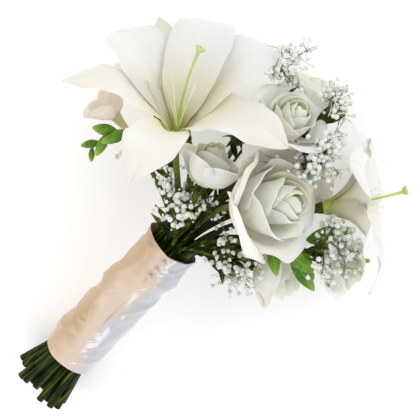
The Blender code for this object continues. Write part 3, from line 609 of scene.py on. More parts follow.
class Skeleton:
    """Lines that a growth tree turns into tubes, with blossoms on some of their points."""

    def __init__(self) -> None:
        """Starts an empty skeleton."""
        self.points: list[Vector] = []
        self.edges: list[tuple[int, int]] = []
        self.radii: list[float] = []
        self.shares: list[float] = []
        self.blooms: list[float] = []
        self.facings: list[Vector] = []

    def line(self, path: list, radii: list[float], bloom: float = 0.0) -> None:
        """Adds a line of points.

        Args:
            path: Its points in the bouquet's frame.
            radii: The tube's radius at each point.
            bloom: The size of the blossom at its end, or 0 for none.
        """
        first = len(self.points)
        path = [Vector(p) for p in path]
        self.points += path
        self.radii += list(radii)
        self.shares += list(np.linspace(0, 1, len(path)))
        self.edges += [(first + k, first + k + 1) for k in range(len(path) - 1)]
        self.blooms += [0.0] * (len(path) - 1) + [bloom]
        self.facings += [(path[-1] - path[-2]).normalized()] * len(path)

    def mesh(self, name: str) -> bpy.types.Mesh:
        """The skeleton as a mesh of edges with its values stored at each point.

        Args:
            name: What the mesh is called.

        Returns:
            The mesh.
        """
        mesh = bpy.data.meshes.new(name)
        mesh.from_pydata([tuple(REST @ p) for p in self.points], self.edges, [])
        turn = REST.to_3x3()
        for label, values in (("radius", self.radii), ("along", self.shares), ("bloom", self.blooms)):
            mesh.attributes.new(label, "FLOAT", "POINT").data.foreach_set("value", values)
        facing = mesh.attributes.new("facing", "FLOAT_VECTOR", "POINT")
        facing.data.foreach_set("vector", [x for f in self.facings for x in turn @ f])
        return mesh


class GrowthTree:
    """Geometry nodes that grow tubes along a skeleton and set blossoms at its ends."""

    def __init__(self) -> None:
        """Builds the tree with its named inputs."""
        self.tree = bpy.data.node_groups.new("growth", "GeometryNodeTree")
        self.sockets: dict[str, str] = {}
        self.claim("Geometry", "NodeSocketGeometry")
        self.claim("Sides", "NodeSocketInt")
        self.claim("Bark", "NodeSocketMaterial")
        self.claim("Blossom", "NodeSocketObject")
        self.claim("Seed", "NodeSocketInt")
        self.tree.interface.new_socket("Geometry", in_out="OUTPUT", socket_type="NodeSocketGeometry")
        self.given = self.tree.nodes.new("NodeGroupInput").outputs
        self.build()

    def claim(self, name: str, kind: str) -> None:
        """Adds a named input to the tree."""
        made = self.tree.interface.new_socket(name, in_out="INPUT", socket_type=kind)
        self.sockets[name] = made.identifier

    def node(self, kind: str, links: dict[str | int, object], **settings: object) -> bpy.types.Node:
        """Adds a node.

        Args:
            kind: Its type.
            links: What its inputs are linked or set to.
            settings: Its own options.

        Returns:
            The node.
        """
        made = self.tree.nodes.new(kind)
        for name, value in settings.items():
            setattr(made, name, value)
        for name, value in links.items():
            if isinstance(value, bpy.types.NodeSocket):
                self.tree.links.new(value, made.inputs[name])
            else:
                made.inputs[name].default_value = value
        return made

    def stored(self, name: str, kind: str = "FLOAT") -> bpy.types.NodeSocket:
        """A value that the skeleton stores."""
        return self.node("GeometryNodeInputNamedAttribute", {"Name": name}, data_type=kind).outputs[0]

    def build(self) -> None:
        """Links the tubes and the blossoms to the output."""
        curve = self.node("GeometryNodeMeshToCurve", {"Mesh": self.given["Geometry"]}).outputs[0]
        ring = self.node("GeometryNodeCurvePrimitiveCircle", {
            "Resolution": self.given["Sides"], "Radius": 1.0,
        })
        tube = self.node("GeometryNodeCurveToMesh", {
            "Curve": curve, "Profile Curve": ring.outputs[0], "Scale": self.stored("radius"),
            "Fill Caps": True,
        }).outputs[0]
        corners = self.node("GeometryNodeInputMeshFaceNeighbors", {}).outputs["Vertex Count"]
        flat = self.node(
            "FunctionNodeCompare", {2: corners, 3: 4}, data_type="INT", operation="GREATER_THAN"
        )
        cut = self.node("GeometryNodeStoreNamedAttribute", {
            "Geometry": tube, "Selection": flat.outputs[0], "Name": "cut", "Value": 1.0,
        }, data_type="FLOAT", domain="FACE").outputs[0]
        bark = self.node("GeometryNodeSetMaterial", {
            "Geometry": cut, "Material": self.given["Bark"],
        }).outputs[0]
        wanted = self.node(
            "FunctionNodeCompare", {0: self.stored("bloom"), 1: 1e-6}, operation="GREATER_THAN"
        )
        facing = self.node("FunctionNodeAlignRotationToVector", {
            "Vector": self.stored("facing", "FLOAT_VECTOR"),
        }, axis="Z").outputs[0]
        blossom = self.node("GeometryNodeObjectInfo", {"Object": self.given["Blossom"]}).outputs["Geometry"]
        spin = self.node("FunctionNodeRandomValue", {
            "Min": 0.0, "Max": FULL_TURN, "Seed": self.given["Seed"],
        })
        turn = self.node("FunctionNodeAxisAngleToRotation", {
            "Axis": (0.0, 0.0, 1.0), "Angle": spin.outputs["Value"],
        })
        turned = self.node("FunctionNodeRotateRotation", {
            0: facing, 1: turn.outputs[0],
        }, rotation_space="LOCAL")
        heads = self.node("GeometryNodeInstanceOnPoints", {
            "Points": self.given["Geometry"], "Selection": wanted.outputs[0], "Instance": blossom,
            "Rotation": turned.outputs[0], "Scale": self.stored("bloom"),
        }).outputs[0]
        both = self.node("GeometryNodeJoinGeometry", {})
        self.tree.links.new(heads, both.inputs[0])
        self.tree.links.new(bark, both.inputs[0])
        real = self.node("GeometryNodeRealizeInstances", {"Geometry": both.outputs[0]}).outputs[0]
        end = self.tree.nodes.new("NodeGroupOutput")
        self.tree.links.new(real, end.inputs[0])

    def grow(self, name: str, skeleton: Skeleton, sides: int, bark: Finish,
             blossom: bpy.types.Object | None = None, seed: int = 0) -> bpy.types.Object:
        """Grows a skeleton into a plain mesh.

        Args:
            name: The new object's name.
            skeleton: Its lines.
            sides: How many sides each tube has.
            bark: The tubes' finish.
            blossom: What stands on the points that bear one.
            seed: The seed of the blossoms' turns.

        Returns:
            The grown object, with no modifier left on it.
        """
        rough = bpy.data.objects.new(name + "_lines", skeleton.mesh(name))
        bpy.context.scene.collection.objects.link(rough)
        modifier = rough.modifiers.new("growth", "NODES")
        modifier.node_group = self.tree
        chosen = {"Sides": sides, "Bark": SHELF.take(bark), "Blossom": blossom, "Seed": seed}
        for label, value in chosen.items():
            modifier[self.sockets[label]] = value
        bpy.context.view_layer.update()
        mesh = bpy.data.meshes.new_from_object(rough.evaluated_get(bpy.context.evaluated_depsgraph_get()))
        bpy.data.objects.remove(rough)
        return shown(name, mesh)


GROWTH = GrowthTree()


def joined(name: str, objects: list[bpy.types.Object]) -> bpy.types.Object:
    """Several objects as one.

    Args:
        name: The name of the one.
        objects: What is joined, the first of which takes the others in.

    Returns:
        The joined object.
    """
    first = objects[0]
    if len(objects) > 1:
        with bpy.context.temp_override(active_object=first, object=first, selected_editable_objects=objects):
            bpy.ops.object.join()
    first.name = name
    first.data.name = name
    return first


def seat(piece: bpy.types.Object, node: str) -> None:
    """Lets a finished piece stand for its node and ride with the bouquet.

    Args:
        piece: The finished piece.
        node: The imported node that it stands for.
    """
    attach(piece, ROOT)
    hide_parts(node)
    log.info("%s: %d faces", piece.name, len(piece.data.polygons))


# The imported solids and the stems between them


class Solid:
    """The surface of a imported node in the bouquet's own frame."""

    def __init__(self, node: str) -> None:
        """Reads the node's surface."""
        home = REST.inverted()
        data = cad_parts[node].data
        points = [home @ v.co for v in data.vertices]
        self.tree = BVHTree.FromPolygons(points, [tuple(p.vertices) for p in data.polygons])

    def depth(self, point: Vector) -> float:
        """How deep inside the solid a point lies, below 0 when it is outside."""
        nearest, normal, _, distance = self.tree.find_nearest(point)
        return distance if (point - nearest).dot(normal) < 0 else -distance

    def clear(self, points: list[Vector], margin: float) -> bool:
        """True if every point keeps this far from the surface."""
        return all(self.tree.find_nearest(p, margin)[0] is None for p in points)


@dataclass(frozen=True)
class Bundle:
    """The honeycomb in which the stems are bound, and the ways from it to the flowers."""

    pitch: float = 6.1 * MM
    lift: float = 5 * MM
    rings: int = 3
    end: float = 38 * MM
    spread: float = 1.6
    stagger: float = 3.5 * MM
    sleeve: float = 135 * MM
    eases: tuple = (0.30, 0.18, 0.42)
    bows: tuple = (
        (0, 0, 0), (0, 0, -12), (0, 0, 12), (0, 12, 0), (0, -12, 0),
        (0, 10, -14), (0, -10, -14), (0, 0, -26), (0, 22, 0), (0, -22, 0),
    )
    leaving: float = 0.3

    def places(self) -> list[Vector]:
        """The places of the honeycomb."""
        span = range(-self.rings, self.rings + 1)
        return [Vector((self.lift, (i + j / 2) * self.pitch, j * math.sqrt(3) / 2 * self.pitch))
                for i, j in itertools.product(span, span) if abs(i + j) <= self.rings]

    def corners(self, spot: Vector, ease: float, bow: Point, root: Vector, axis: Vector) -> list[Vector]:
        """The corners of the curve from a place to a flower's root."""
        reach = ease * (root - spot).length
        leave = spot + Vector((reach, 0, 0)) + self.leaving * mm(bow)
        return [spot, leave, root - axis * reach + mm(bow), root]

    def ways(self, solid: Solid, root: Vector, facing: Vector, count: int = 1) -> list[list[Vector]]:
        """The ways that run down the middle of a node's packed stems.

        Args:
            solid: The stems' node.
            root: Where the flower is rooted.
            facing: Where the flower looks.
            count: How many stems the node has.

        Returns:
            The corners of each stem's curve.
        """
        axis = Vector(facing).normalized()
        found = []
        for spot in self.places():
            best, kept = -1.0, None
            for ease, bow in itertools.product(self.eases, self.bows):
                corners = self.corners(spot, ease, bow, root, axis)
                middle = min(solid.depth(Vector(p)) for p in bezier(corners, np.linspace(0, 0.8, 5)))
                if middle > best:
                    best, kept = middle, corners
            found.append((best, kept))
        found.sort(key=lambda row: -row[0])
        return [kept for _, kept in found[:count]]

    def stem(self, corners: list[Vector], radius: float, neck: float, top: list[Vector] = (),
             tip: float = 0.0) -> tuple[list[Vector], list[float]]:
        """The whole line of a stem, from its cut end through the sleeve to its flower.

        Args:
            corners: Its way from the bundle, as a curve.
            radius: Its radius in the sleeve.
            neck: Its radius where it has thinned.
            top: A leafy or budded top that goes on from it.
            tip: The radius at the end of the top.

        Returns:
            Its points and its radius at each.
        """
        spot = corners[0]
        stagger = self.stagger * math.sin(7919 * spot.y + 6151 * spot.z)
        end = Vector((stagger - self.sleeve - self.end, spot.y * self.spread, spot.z * self.spread))
        inner = Vector((-self.sleeve - 1 * MM, spot.y, spot.z))
        low = [end.lerp(inner, k / 6) for k in range(6)] + [inner.lerp(spot, k / 16) for k in range(16)]
        shares = np.linspace(0, 1, 26)
        way = [Vector(p) for p in bezier(corners, shares)]
        radii = [radius * (1 + 0.035 * math.sin(0.9 * k + 40 * spot.y)) for k in range(len(low))]
        radii += [radius + (neck - radius) * min(1, 2.5 * s) for s in shares]
        radii += [neck + (tip - neck) * (k + 1) / len(top) for k in range(len(top))]
        return [*low, *way, *top], radii


BUNDLE = Bundle()


# Lilies


@dataclass(frozen=True)
class Tepal:
    """One lily tepal: its turn about the flower's axis, its size, its lean and how full its tip is."""

    turn: float
    length: float
    half_width: float
    leans: Point
    fullness: float
    rise: float = 1.5 * MM
    claw: float = 2.4 * MM
    ruffle: float = 2.4 * MM
    thick: float = 0.75 * MM
    edge: float = 0.32 * MM

    def spine(self, inset: float, t: np.ndarray) -> tuple[np.ndarray, np.ndarray, np.ndarray]:
        """The way of the spine.

        Args:
            inset: How far the claw stands from the flower's axis.
            t: The shares of the length that are wanted.

        Returns:
            How far out and how far up it runs from its claw, and how it leans, at each share.
        """
        at_root, at_middle, at_tip = np.radians(self.leans)
        lean = at_root + (at_middle - at_root) * smooth(t / 0.5)
        lean += (at_tip - at_middle) * smooth((t - 0.45) / 0.55)
        step = self.length * MM / (len(t) - 1)
        between = (lean[1:] + lean[:-1]) / 2
        out = inset + np.concatenate([[0], np.cumsum(np.sin(between) * step)])
        up = self.rise + np.concatenate([[0], np.cumsum(np.cos(between) * step)])
        return out, up, lean

    def grid(self, inset: float, mouth: float, rows: int = 40, cols: int = 22) -> np.ndarray:
        """The tepal's surface, which hugs the throat up to its mouth, opens, and rolls back at its tip.

        Args:
            inset: How far its claw stands from the flower's axis.
            mouth: The share of it that hugs the throat.
            rows: How many steps it has along its spine.
            cols: How many steps it has across.

        Returns:
            Rows of points in the flower's frame.
        """
        t = np.linspace(0, 1, rows + 1)
        out, up, lean = self.spine(inset, t)
        half = self.half_width * MM
        swell = np.sin(np.pi * t ** (1.1 + 0.25 * self.fullness)) ** (1 - 0.4 * self.fullness)
        width = self.claw * (1 - t) ** 2 + half * swell
        width = np.maximum(width, 0.7 * MM)
        hug = 1 - smooth(t / mouth)
        cup = 0.26 - 0.40 * smooth((t - 0.3) / 0.7)
        grid = np.zeros((rows + 1, cols + 1, 3))
        for j, s in enumerate(np.linspace(-1, 1, cols + 1)):
            x = s * width
            around = hug * np.clip(x / np.maximum(out, 4 * MM), -0.9, 0.9)
            phase = math.radians(self.turn) + 1 + math.tanh(4 * s)
            wave = self.ruffle * abs(s) ** 3 * np.sin(np.pi * t) * np.sin(15 * t + phase)
            wave += 0.35 * self.ruffle * abs(s) ** 5 * np.sin(np.pi * t) * np.sin(34 * t + 3 * phase)
            groove = 0.07 * half * math.exp(-((s / 0.16) ** 2))
            fluting = 0.02 * half * np.cos(9 * s) * np.sin(np.pi * t)
            rise = (1 - hug) * (cup * s * s * width - groove + fluting) + wave
            radial = out - np.cos(lean) * rise
            flat = x * (1 - hug)
            grid[:, j, 0] = radial * np.cos(around) - flat * np.sin(around)
            grid[:, j, 1] = radial * np.sin(around) + flat * np.cos(around)
            grid[:, j, 2] = up + np.sin(lean) * rise
        turn = Matrix.Rotation(math.radians(self.turn), 4, "Z")
        return carried(grid.reshape(-1, 3), turn).reshape(grid.shape)

    def add_to(self, draft: MeshDraft, place: Matrix, inset: float, mouth: float, tone: float) -> None:
        """Adds the tepal to a bloom."""
        grid = self.grid(inset, mouth)
        shell, along, across = blade_shell(grid, edge_thinned(*grid.shape[:2], self.thick, self.edge))
        draft.add(shell, place, along=along, across=across, tone=tone)


@dataclass
class Lily:
    """An open lily: six tepals, the style with its stigma, bare filaments, and its stem."""

    name: str
    tepals: tuple[Tepal, ...]
    mouth: float
    root: Point
    facing: Point
    across: Point
    style_length: float
    style_bend: float
    insets: tuple[float, float] = (4.4 * MM, 2.8 * MM)
    hub: tuple = ((0, 0), (5.5, 0), (6.6, 6), (4.0, 8), (0, 8))
    floor: float = 8.3 * MM
    swelling: tuple = ((0, -9.5), (3.4, -9.3), (3.9, -6.0), (4.7, -3.0), (4.6, -0.5), (0, -0.3))

    @property
    def place(self) -> Matrix:
        """Where the flower stands in the bouquet."""
        return placement(mm(self.root), self.facing, self.across)

    def bloom(self) -> None:
        """Builds the tepals round their hub."""
        draft = MeshDraft()
        draft.add(turned_shell(rounded_profile(self.hub, 14, MM, MM), 24), self.place, tone=0.5)
        for k, tepal in enumerate(self.tepals):
            tepal.add_to(draft, self.place, self.insets[k % 2], self.mouth, 0.75 + 0.25 * (k % 2))
        seat(draft.object(self.name + "_bloom_tepals", [Finish.LILY]), self.name + "_bloom")

    def style(self) -> None:
        """Builds the style with a three-lobed stigma, and a filament towards each tepal."""
        length, bend = self.style_length * MM, self.style_bend * MM
        path = [Vector((bend * (z / length) ** 2, 0, z)) for z in np.linspace(self.floor, length, 20)]
        radii = np.interp(np.linspace(0, 1, 20), (0, 0.25, 0.5, 0.8, 1), (2.2, 1.2, 1.0, 1.15, 1.6)) * MM
        rod = Skeleton()
        rod.line([self.place @ p for p in path], radii)
        threads = Skeleton()
        for k, tepal in enumerate(self.tepals):
            turn = math.radians(tepal.turn)
            heading = Vector((math.cos(turn), math.sin(turn), 0))
            reach = (0.06 + 0.10 * min(1, tepal.leans[1] / 60)) * length
            foot = heading * 0.8 * MM + Vector((0, 0, self.floor + (1 + k) * MM))
            head = heading * reach + Vector((0, 0, (0.70 + 0.02 * (k % 3)) * length))
            bow = [
                foot.lerp(head, s) + Vector((0, 0, 2.0 * MM * math.sin(math.pi * s)))
                for s in np.linspace(0, 1, 12)
            ]
            threads.line([self.place @ p for p in bow], np.linspace(0.8, 0.35, 12) * MM)
        knob = Matrix.Translation(path[-1]) @ Matrix.Rotation(2 * math.atan2(bend, length), 4, "Y")
        corners = ((0, -2.5), (1.9, -1.8), (3.2, -0.2), (3.8, 1.3), (2.0, 2.5), (0, 1.8))
        stigma = rounded_profile(corners, 18, MM, MM)
        draft = MeshDraft()
        draft.add(turned_shell(stigma, 36, 3, 0.30), self.place @ knob, along=1.0)
        parts = [
            GROWTH.grow(self.name + "_rod", rod, STALK_SIDES, Finish.STYLE),
            GROWTH.grow(self.name + "_threads", threads, 8, Finish.FILAMENT),
            draft.object(self.name + "_stigma", [Finish.STYLE]),
        ]
        seat(joined(self.name + "_style_and_filaments", parts), self.name + "_style")

    def stem(self) -> None:
        """Builds the stem and its swelling under the flower."""
        axis = (self.place.to_3x3() @ Vector((0, 0, 1))).normalized()
        root = self.place.translation - axis * 8.3 * MM
        corners = BUNDLE.ways(Solid(self.name + "_stem"), root, axis)[0]
        line = Skeleton()
        line.line(*BUNDLE.stem(corners, STEM_FOOT, 2.6 * MM))
        draft = MeshDraft()
        draft.add(turned_shell(rounded_profile(self.swelling, 18, MM, MM), 24), self.place, along=0.8)
        parts = [
            GROWTH.grow(self.name, line, STEM_SIDES, Finish.STEM),
            draft.object(self.name + "_cup", [Finish.STEM]),
        ]
        seat(joined(self.name + "_stem_grown", parts), self.name + "_stem")

    def build(self) -> None:
        """Builds the whole flower."""
        self.bloom()
        self.style()
        self.stem()


# Roses


class Fullness(Enum):
    """Layers of rose petals from the heart outwards: openness, petals, half angle, and turn in steps."""

    FULL = ((0.0, 3, 95, 0), (0.13, 3, 88, 0.5), (0.28, 3, 80, 1), (0.60, 4, 64, 2), (1.0, 5, 54, 3))
    HALF = ((0.0, 3, 95, 0), (0.16, 3, 86, 0.5), (0.40, 3, 80, 1), (0.85, 4, 64, 2))
    LIGHT = ((0.0, 3, 95, -0.5), (0.14, 3, 84, 0), (0.42, 3, 76, 0.5), (0.78, 4, 64, 1))


@dataclass
class Rose:
    """A rose: layers of petals round a closed heart, its hip with five sepals, and its stem."""

    name: str
    fullness: Fullness
    middle: Point
    facing: Point
    radius: float
    tall: float
    first_turn: float
    layer_turn: float = 47
    spiral: float = 0.032
    closed: tuple = ((0.08, 0.11), (0.30, 0.18), (0.30, 0.95), (0.12, 1.12))
    opened: tuple = ((0.16, 0.02), (0.86, 0.02), (0.76, 0.78), (1.06, 0.66))
    heart: tuple = ((0, 0), (0.20, 0), (0.18, 0.2), (0.15, 0.75), (0.08, 1.0), (0, 1.04))
    hip: tuple = ((0, -9.0), (2.5, -8.9), (4.7, -5.5), (4.8, -3.6), (4.2, -0.5), (0, -0.3))

    @property
    def place(self) -> Matrix:
        """Where the flower stands in the bouquet."""
        axis = Vector(self.facing).normalized()
        across = (0, 0, 1) if abs(axis.z) < 0.8 else (1, 0, 0)
        return placement(mm(self.middle) - 0.45 * self.radius * MM * self.tall * axis, self.facing, across)

    def petal(
        self, openness: float, turn: float, half_angle: float, rows: int = 18, cols: int = 16
    ) -> np.ndarray:
        """One petal: a cupped patch round the flower's axis with a rounded, rolled-out lip.

        Args:
            openness: 0 for a closed petal at the heart, 1 for an open one outside.
            turn: Its turn about the axis, in degrees.
            half_angle: How far it wraps to each side, in degrees.
            rows: How many steps it has from claw to lip.
            cols: How many steps it has across.

        Returns:
            Rows of points in the flower's frame.
        """
        around = math.radians(turn)
        openness += 0.07 * openness * math.sin(2.3 * around + 5 * openness)
        profile = (1 - openness) * np.array(self.closed) + openness * np.array(self.opened)
        size = self.radius * MM
        t = np.linspace(0, 1, rows + 1)
        grid = np.zeros((rows + 1, cols + 1, 3))
        for j, s in enumerate(np.linspace(-1, 1, cols + 1)):
            reach = 1 - 0.26 * abs(s) ** 2.4
            curve = bezier(profile, t * reach) * size * (1 + 0.05 * math.cos(1.7 * around))
            corner = openness * size * smooth((abs(s) - 0.3) / 0.7) * smooth((t - 0.4) / 0.6)
            lip = size * smooth((t - 0.7) / 0.3)
            wave = math.sin(4.1 * s + around) + 0.5 * math.sin(9.0 * s - 2 * around)
            out = curve[:, 0] + self.spiral * size * s + 0.08 * corner
            out += lip * (0.02 + 0.03 * openness) * wave + 0.04 * lip * openness
            spread = 0.5 + 0.2 * openness + (0.5 - 0.2 * openness) * smooth(t)
            spread = spread - 0.12 * smooth((t - 0.6) / 0.4)
            angle = around + math.radians(half_angle) * s * spread
            grid[:, j, 0] = out * np.cos(angle)
            grid[:, j, 1] = out * np.sin(angle)
            grid[:, j, 2] = (curve[:, 1] - 0.08 * corner - 0.05 * lip * openness) * self.tall
        return grid

    def bloom(self) -> None:
        """Builds the petals round the heart."""
        size = self.radius * MM
        draft = MeshDraft()
        draft.add(turned_shell(rounded_profile(self.heart, 14, size, size * self.tall), 20), self.place)
        for openness, count, half_angle, steps in self.fullness.value:
            for n in range(count):
                turn = self.first_turn + self.layer_turn * steps + 360 * n / count
                grid = self.petal(openness, turn, half_angle)
                thickness = edge_thinned(*grid.shape[:2], 0.7 * MM, 0.35 * MM)
                shell, along, across = blade_shell(grid, thickness)
                draft.add(shell, self.place, along=along, across=across, tone=0.25 + 0.75 * openness)
        seat(draft.object(self.name + "_bloom_petals", [Finish.ROSE]), self.name + "_bloom")

    def sepal(self, turn: float, rows: int = 14, cols: int = 6) -> np.ndarray:
        """One sepal: a narrow leaf that folds down and out from the hip.

        Args:
            turn: Its turn about the flower's axis, in radians.
            rows: How many steps it has along.
            cols: How many steps it has across.

        Returns:
            Rows of points in the flower's frame.
        """
        t = np.linspace(0, 1, rows + 1)
        spine = bezier(((4.3, 0, -3.6), (7.0, 0, -3.2), (10.5, 0, -6.0), (12.5, 0, -9.5)), t) * MM
        width = 2.4 * MM * (1 - t) ** 0.8 + 0.25 * MM
        grid = np.repeat(spine[:, None, :], cols + 1, axis=1)
        for j, s in enumerate(np.linspace(-1, 1, cols + 1)):
            grid[:, j, 1] = s * width
            grid[:, j, 2] -= 0.25 * width * s * s
        return carried(grid.reshape(-1, 3), Matrix.Rotation(turn, 4, "Z")).reshape(grid.shape)

    def stem(self) -> None:
        """Builds the stem, the hip and the sepals."""
        axis = (self.place.to_3x3() @ Vector((0, 0, 1))).normalized()
        root = self.place.translation - axis * 7.5 * MM
        corners = BUNDLE.ways(Solid(self.name + "_stem"), root, axis)[0]
        line = Skeleton()
        line.line(*BUNDLE.stem(corners, STEM_FOOT, 2.2 * MM))
        draft = MeshDraft()
        draft.add(turned_shell(rounded_profile(self.hip, 18, MM, MM), 24), self.place, along=0.7)
        for n in range(5):
            grid = self.sepal(2 * math.pi * n / 5)
            shell, along, across = blade_shell(grid, edge_thinned(*grid.shape[:2], 0.6 * MM, 0.3 * MM))
            draft.add(shell, self.place, along=0.4 + 0.6 * along, across=across, leafy=1.0)
        parts = [
            GROWTH.grow(self.name, line, STEM_SIDES, Finish.STEM),
            draft.object(self.name + "_hip", [Finish.STEM]),
        ]
        seat(joined(self.name + "_stem_grown", parts), self.name + "_stem")

    def build(self) -> None:
        """Builds the whole flower."""
        self.bloom()
        self.stem()


# Freesia and leaves


@dataclass
class Freesia:
    """A freesia: a comb of buds that turns over, and one open floret on its stalk."""

    comb: tuple = ((40, 62, 2), (62, 92, 6), (38, 102, 6), (13, 101, 1))
    buds: tuple = (
        (0.42, 22, 5.2, 0.9, 1), (0.58, 20, 4.7, 0.8, -1), (0.74, 18, 4.1, 0.9, 1),
        (0.88, 14.5, 3.3, 0.8, -1), (0.99, 11.5, 2.6, 0.4, 1),
    )
    bud_profile: tuple = (
        (0, -0.04), (0.45, 0.0), (0.9, 0.25), (1.0, 0.45), (0.72, 0.74), (0.3, 0.93), (0, 1.0),
    )
    fork: float = 0.3
    root: Point = (43, 89, -7)
    facing: Point = (0.22, 0.94, 0.22)
    across: Point = (0, 0, 1)
    size: float = 42
    openness: float = 0.85
    funnel: tuple = ((0, 0), (0.106, 0.0), (0.15, 0.4), (0.24, 0.95), (0.18, 1.15), (0, 1.15))

    def comb_piece(self) -> None:
        """Builds the stem, the stalk and the buds."""
        points = [mm(p) for p in self.comb]
        fine = [Vector(p) for p in bezier(points, np.linspace(0, 1, 6))]
        corners = BUNDLE.ways(Solid("freesia_comb"), fine[0], (fine[1] - fine[0]).normalized())[0]
        top = [Vector(p) for p in bezier(points, np.linspace(0, 1, 24))[1:]]
        stalk, lines = Skeleton(), Skeleton()
        stalk.line(*BUNDLE.stem(corners, STALK_FOOT, 2.0 * MM))
        lines.line([corners[-1], *top], np.linspace(2.0, 1.0, len(top) + 1) * MM)
        ahead = Vector(self.facing).normalized()
        start, end = Vector(bezier(points, [self.fork])[0]), mm(self.root) - ahead * 0.3 * MM
        lines.line([start, end - ahead * 3 * MM, end], [1.3 * MM, 1.3 * MM, 1.6 * MM])
        draft = MeshDraft()
        for share, length, radius, lean, side in self.buds:
            root, ahead = (Vector(p) for p in bezier(points, [share, min(share + 0.02, 1.02)]))
            ahead = (ahead - root).normalized()
            across = Vector((0, 0, 1)).cross(ahead).normalized() * side
            facing = ahead * 0.9 + (Vector((0, 0, lean)) + across).normalized() * 0.75
            profile = rounded_profile(self.bud_profile, 22, radius * MM, length * MM)
            shell = turned_shell(profile, 24, 6, 0.07)
            draft.add(shell, placement(root, facing, ahead), along=shell[0][:, 2] / (length * MM))
        parts = [
            GROWTH.grow("freesia", lines, STALK_SIDES, Finish.BUD),
            GROWTH.grow("freesia_stalk", stalk, STALK_SIDES, Finish.STEM),
            draft.object("freesia_buds", [Finish.BUD]),
        ]
        seat(joined("freesia_comb_grown", parts), "freesia_comb")

    def floret(self) -> None:
        """Builds the open floret, three petals inside three."""
        radius = self.size / 2 * MM
        place = placement(mm(self.root), self.facing, self.across)
        draft = MeshDraft()
        throat = turned_shell(rounded_profile(self.funnel, 20, radius, radius), 24, 6, 0.05)
        draft.add(throat, place, tone=0.3)
        for n in range(6):
            petal = Rose("floret", Fullness.LIGHT, (0, 0, 0), (0, 0, 1), self.size / 2, 1.2, 0)
            grid = petal.petal(self.openness - 0.25 * (n % 2), 60 * n, 38, 20, 14)
            grid[:, :, 2] += 0.8 * radius
            shell, along, across = blade_shell(grid, edge_thinned(*grid.shape[:2], 0.7 * MM, 0.35 * MM))
            draft.add(shell, place, along=along, across=across, tone=0.8)
        seat(draft.object("freesia_floret_petals", [Finish.FREESIA]), "freesia_floret")

    def build(self) -> None:
        """Builds the whole freesia."""
        self.comb_piece()
        self.floret()


@dataclass(frozen=True)
class LeafBlade:
    """One lance-shaped leaf with a folded midrib, which bends down towards its tip. In millimetres."""

    length: float
    half_width: float
    droop: float
    face: Point = (0.3, 0.0, 0.95)
    thick: float = 0.7 * MM
    edge: float = 0.3 * MM

    def grid(self, rows: int, cols: int) -> np.ndarray:
        """Its surface along +X.

        Args:
            rows: How many steps it has along.
            cols: How many steps it has across.

        Returns:
            Rows of points.
        """
        t = np.linspace(0, 1, rows + 1)
        width = self.half_width * MM * np.sin(np.pi * np.clip(0.06 + 0.93 * t, 0, 1)) ** 0.8
        width = np.maximum(width, 0.35 * MM)
        grid = np.zeros((rows + 1, cols + 1, 3))
        for j, s in enumerate(np.linspace(-1, 1, cols + 1)):
            grid[:, j, 0] = self.length * MM * t
            grid[:, j, 1] = s * width
            wave = 0.25 * MM * abs(s) ** 2 * np.sin(20 * t + 2 * s)
            grid[:, j, 2] = 0.3 * width * abs(s) ** 1.3 - self.droop * MM * t**2 + wave
        return grid

    def add_to(
        self, draft: MeshDraft, root: Vector, heading: Vector, rows: int = 30, cols: int = 14
    ) -> None:
        """Adds the leaf to a draft.

        Args:
            draft: What it is added to.
            root: Where it grows from.
            heading: Where it points.
            rows: How many steps it has along.
            cols: How many steps it has across.
        """
        heading = heading.normalized()
        face = Vector(self.face)
        face -= face.dot(heading) * heading
        grid = self.grid(rows, cols)
        shell, along, across = blade_shell(grid, edge_thinned(*grid.shape[:2], self.thick, self.edge))
        draft.add(shell, placement(root, face, heading), along=along, across=across, leafy=1.0)


@dataclass
class LeafySprig:
    """A stem with lance-shaped leaves along its top."""

    name: str
    curve: tuple
    leaves: tuple

    def build(self) -> None:
        """Builds the stem and its leaves."""
        points = [mm(p) for p in self.curve]
        rough = [Vector(p) for p in bezier(points, np.linspace(0, 1, 4))]
        corners = BUNDLE.ways(Solid(self.name), rough[0], (rough[1] - rough[0]).normalized())[0]
        top = [Vector(p) for p in bezier(points, np.linspace(0, 1, 18))[1:]]
        stalk, line = Skeleton(), Skeleton()
        stalk.line(*BUNDLE.stem(corners, STALK_FOOT, 1.8 * MM))
        line.line([corners[-1], *top], np.linspace(1.8, 0.9, len(top) + 1) * MM)
        draft = MeshDraft()
        for share, heading, length, half_width, droop in self.leaves:
            root = Vector(bezier(points, [share])[0])
            LeafBlade(length, half_width, droop).add_to(draft, root, Vector(heading))
        parts = [
            GROWTH.grow(self.name, line, STALK_SIDES, Finish.LEAF),
            GROWTH.grow(self.name, stalk, STALK_SIDES, Finish.STEM),
            draft.object(self.name + "_leaves", [Finish.LEAF]),
        ]
        seat(joined(self.name + "_grown", parts), self.name)


# Sprays of small blossoms


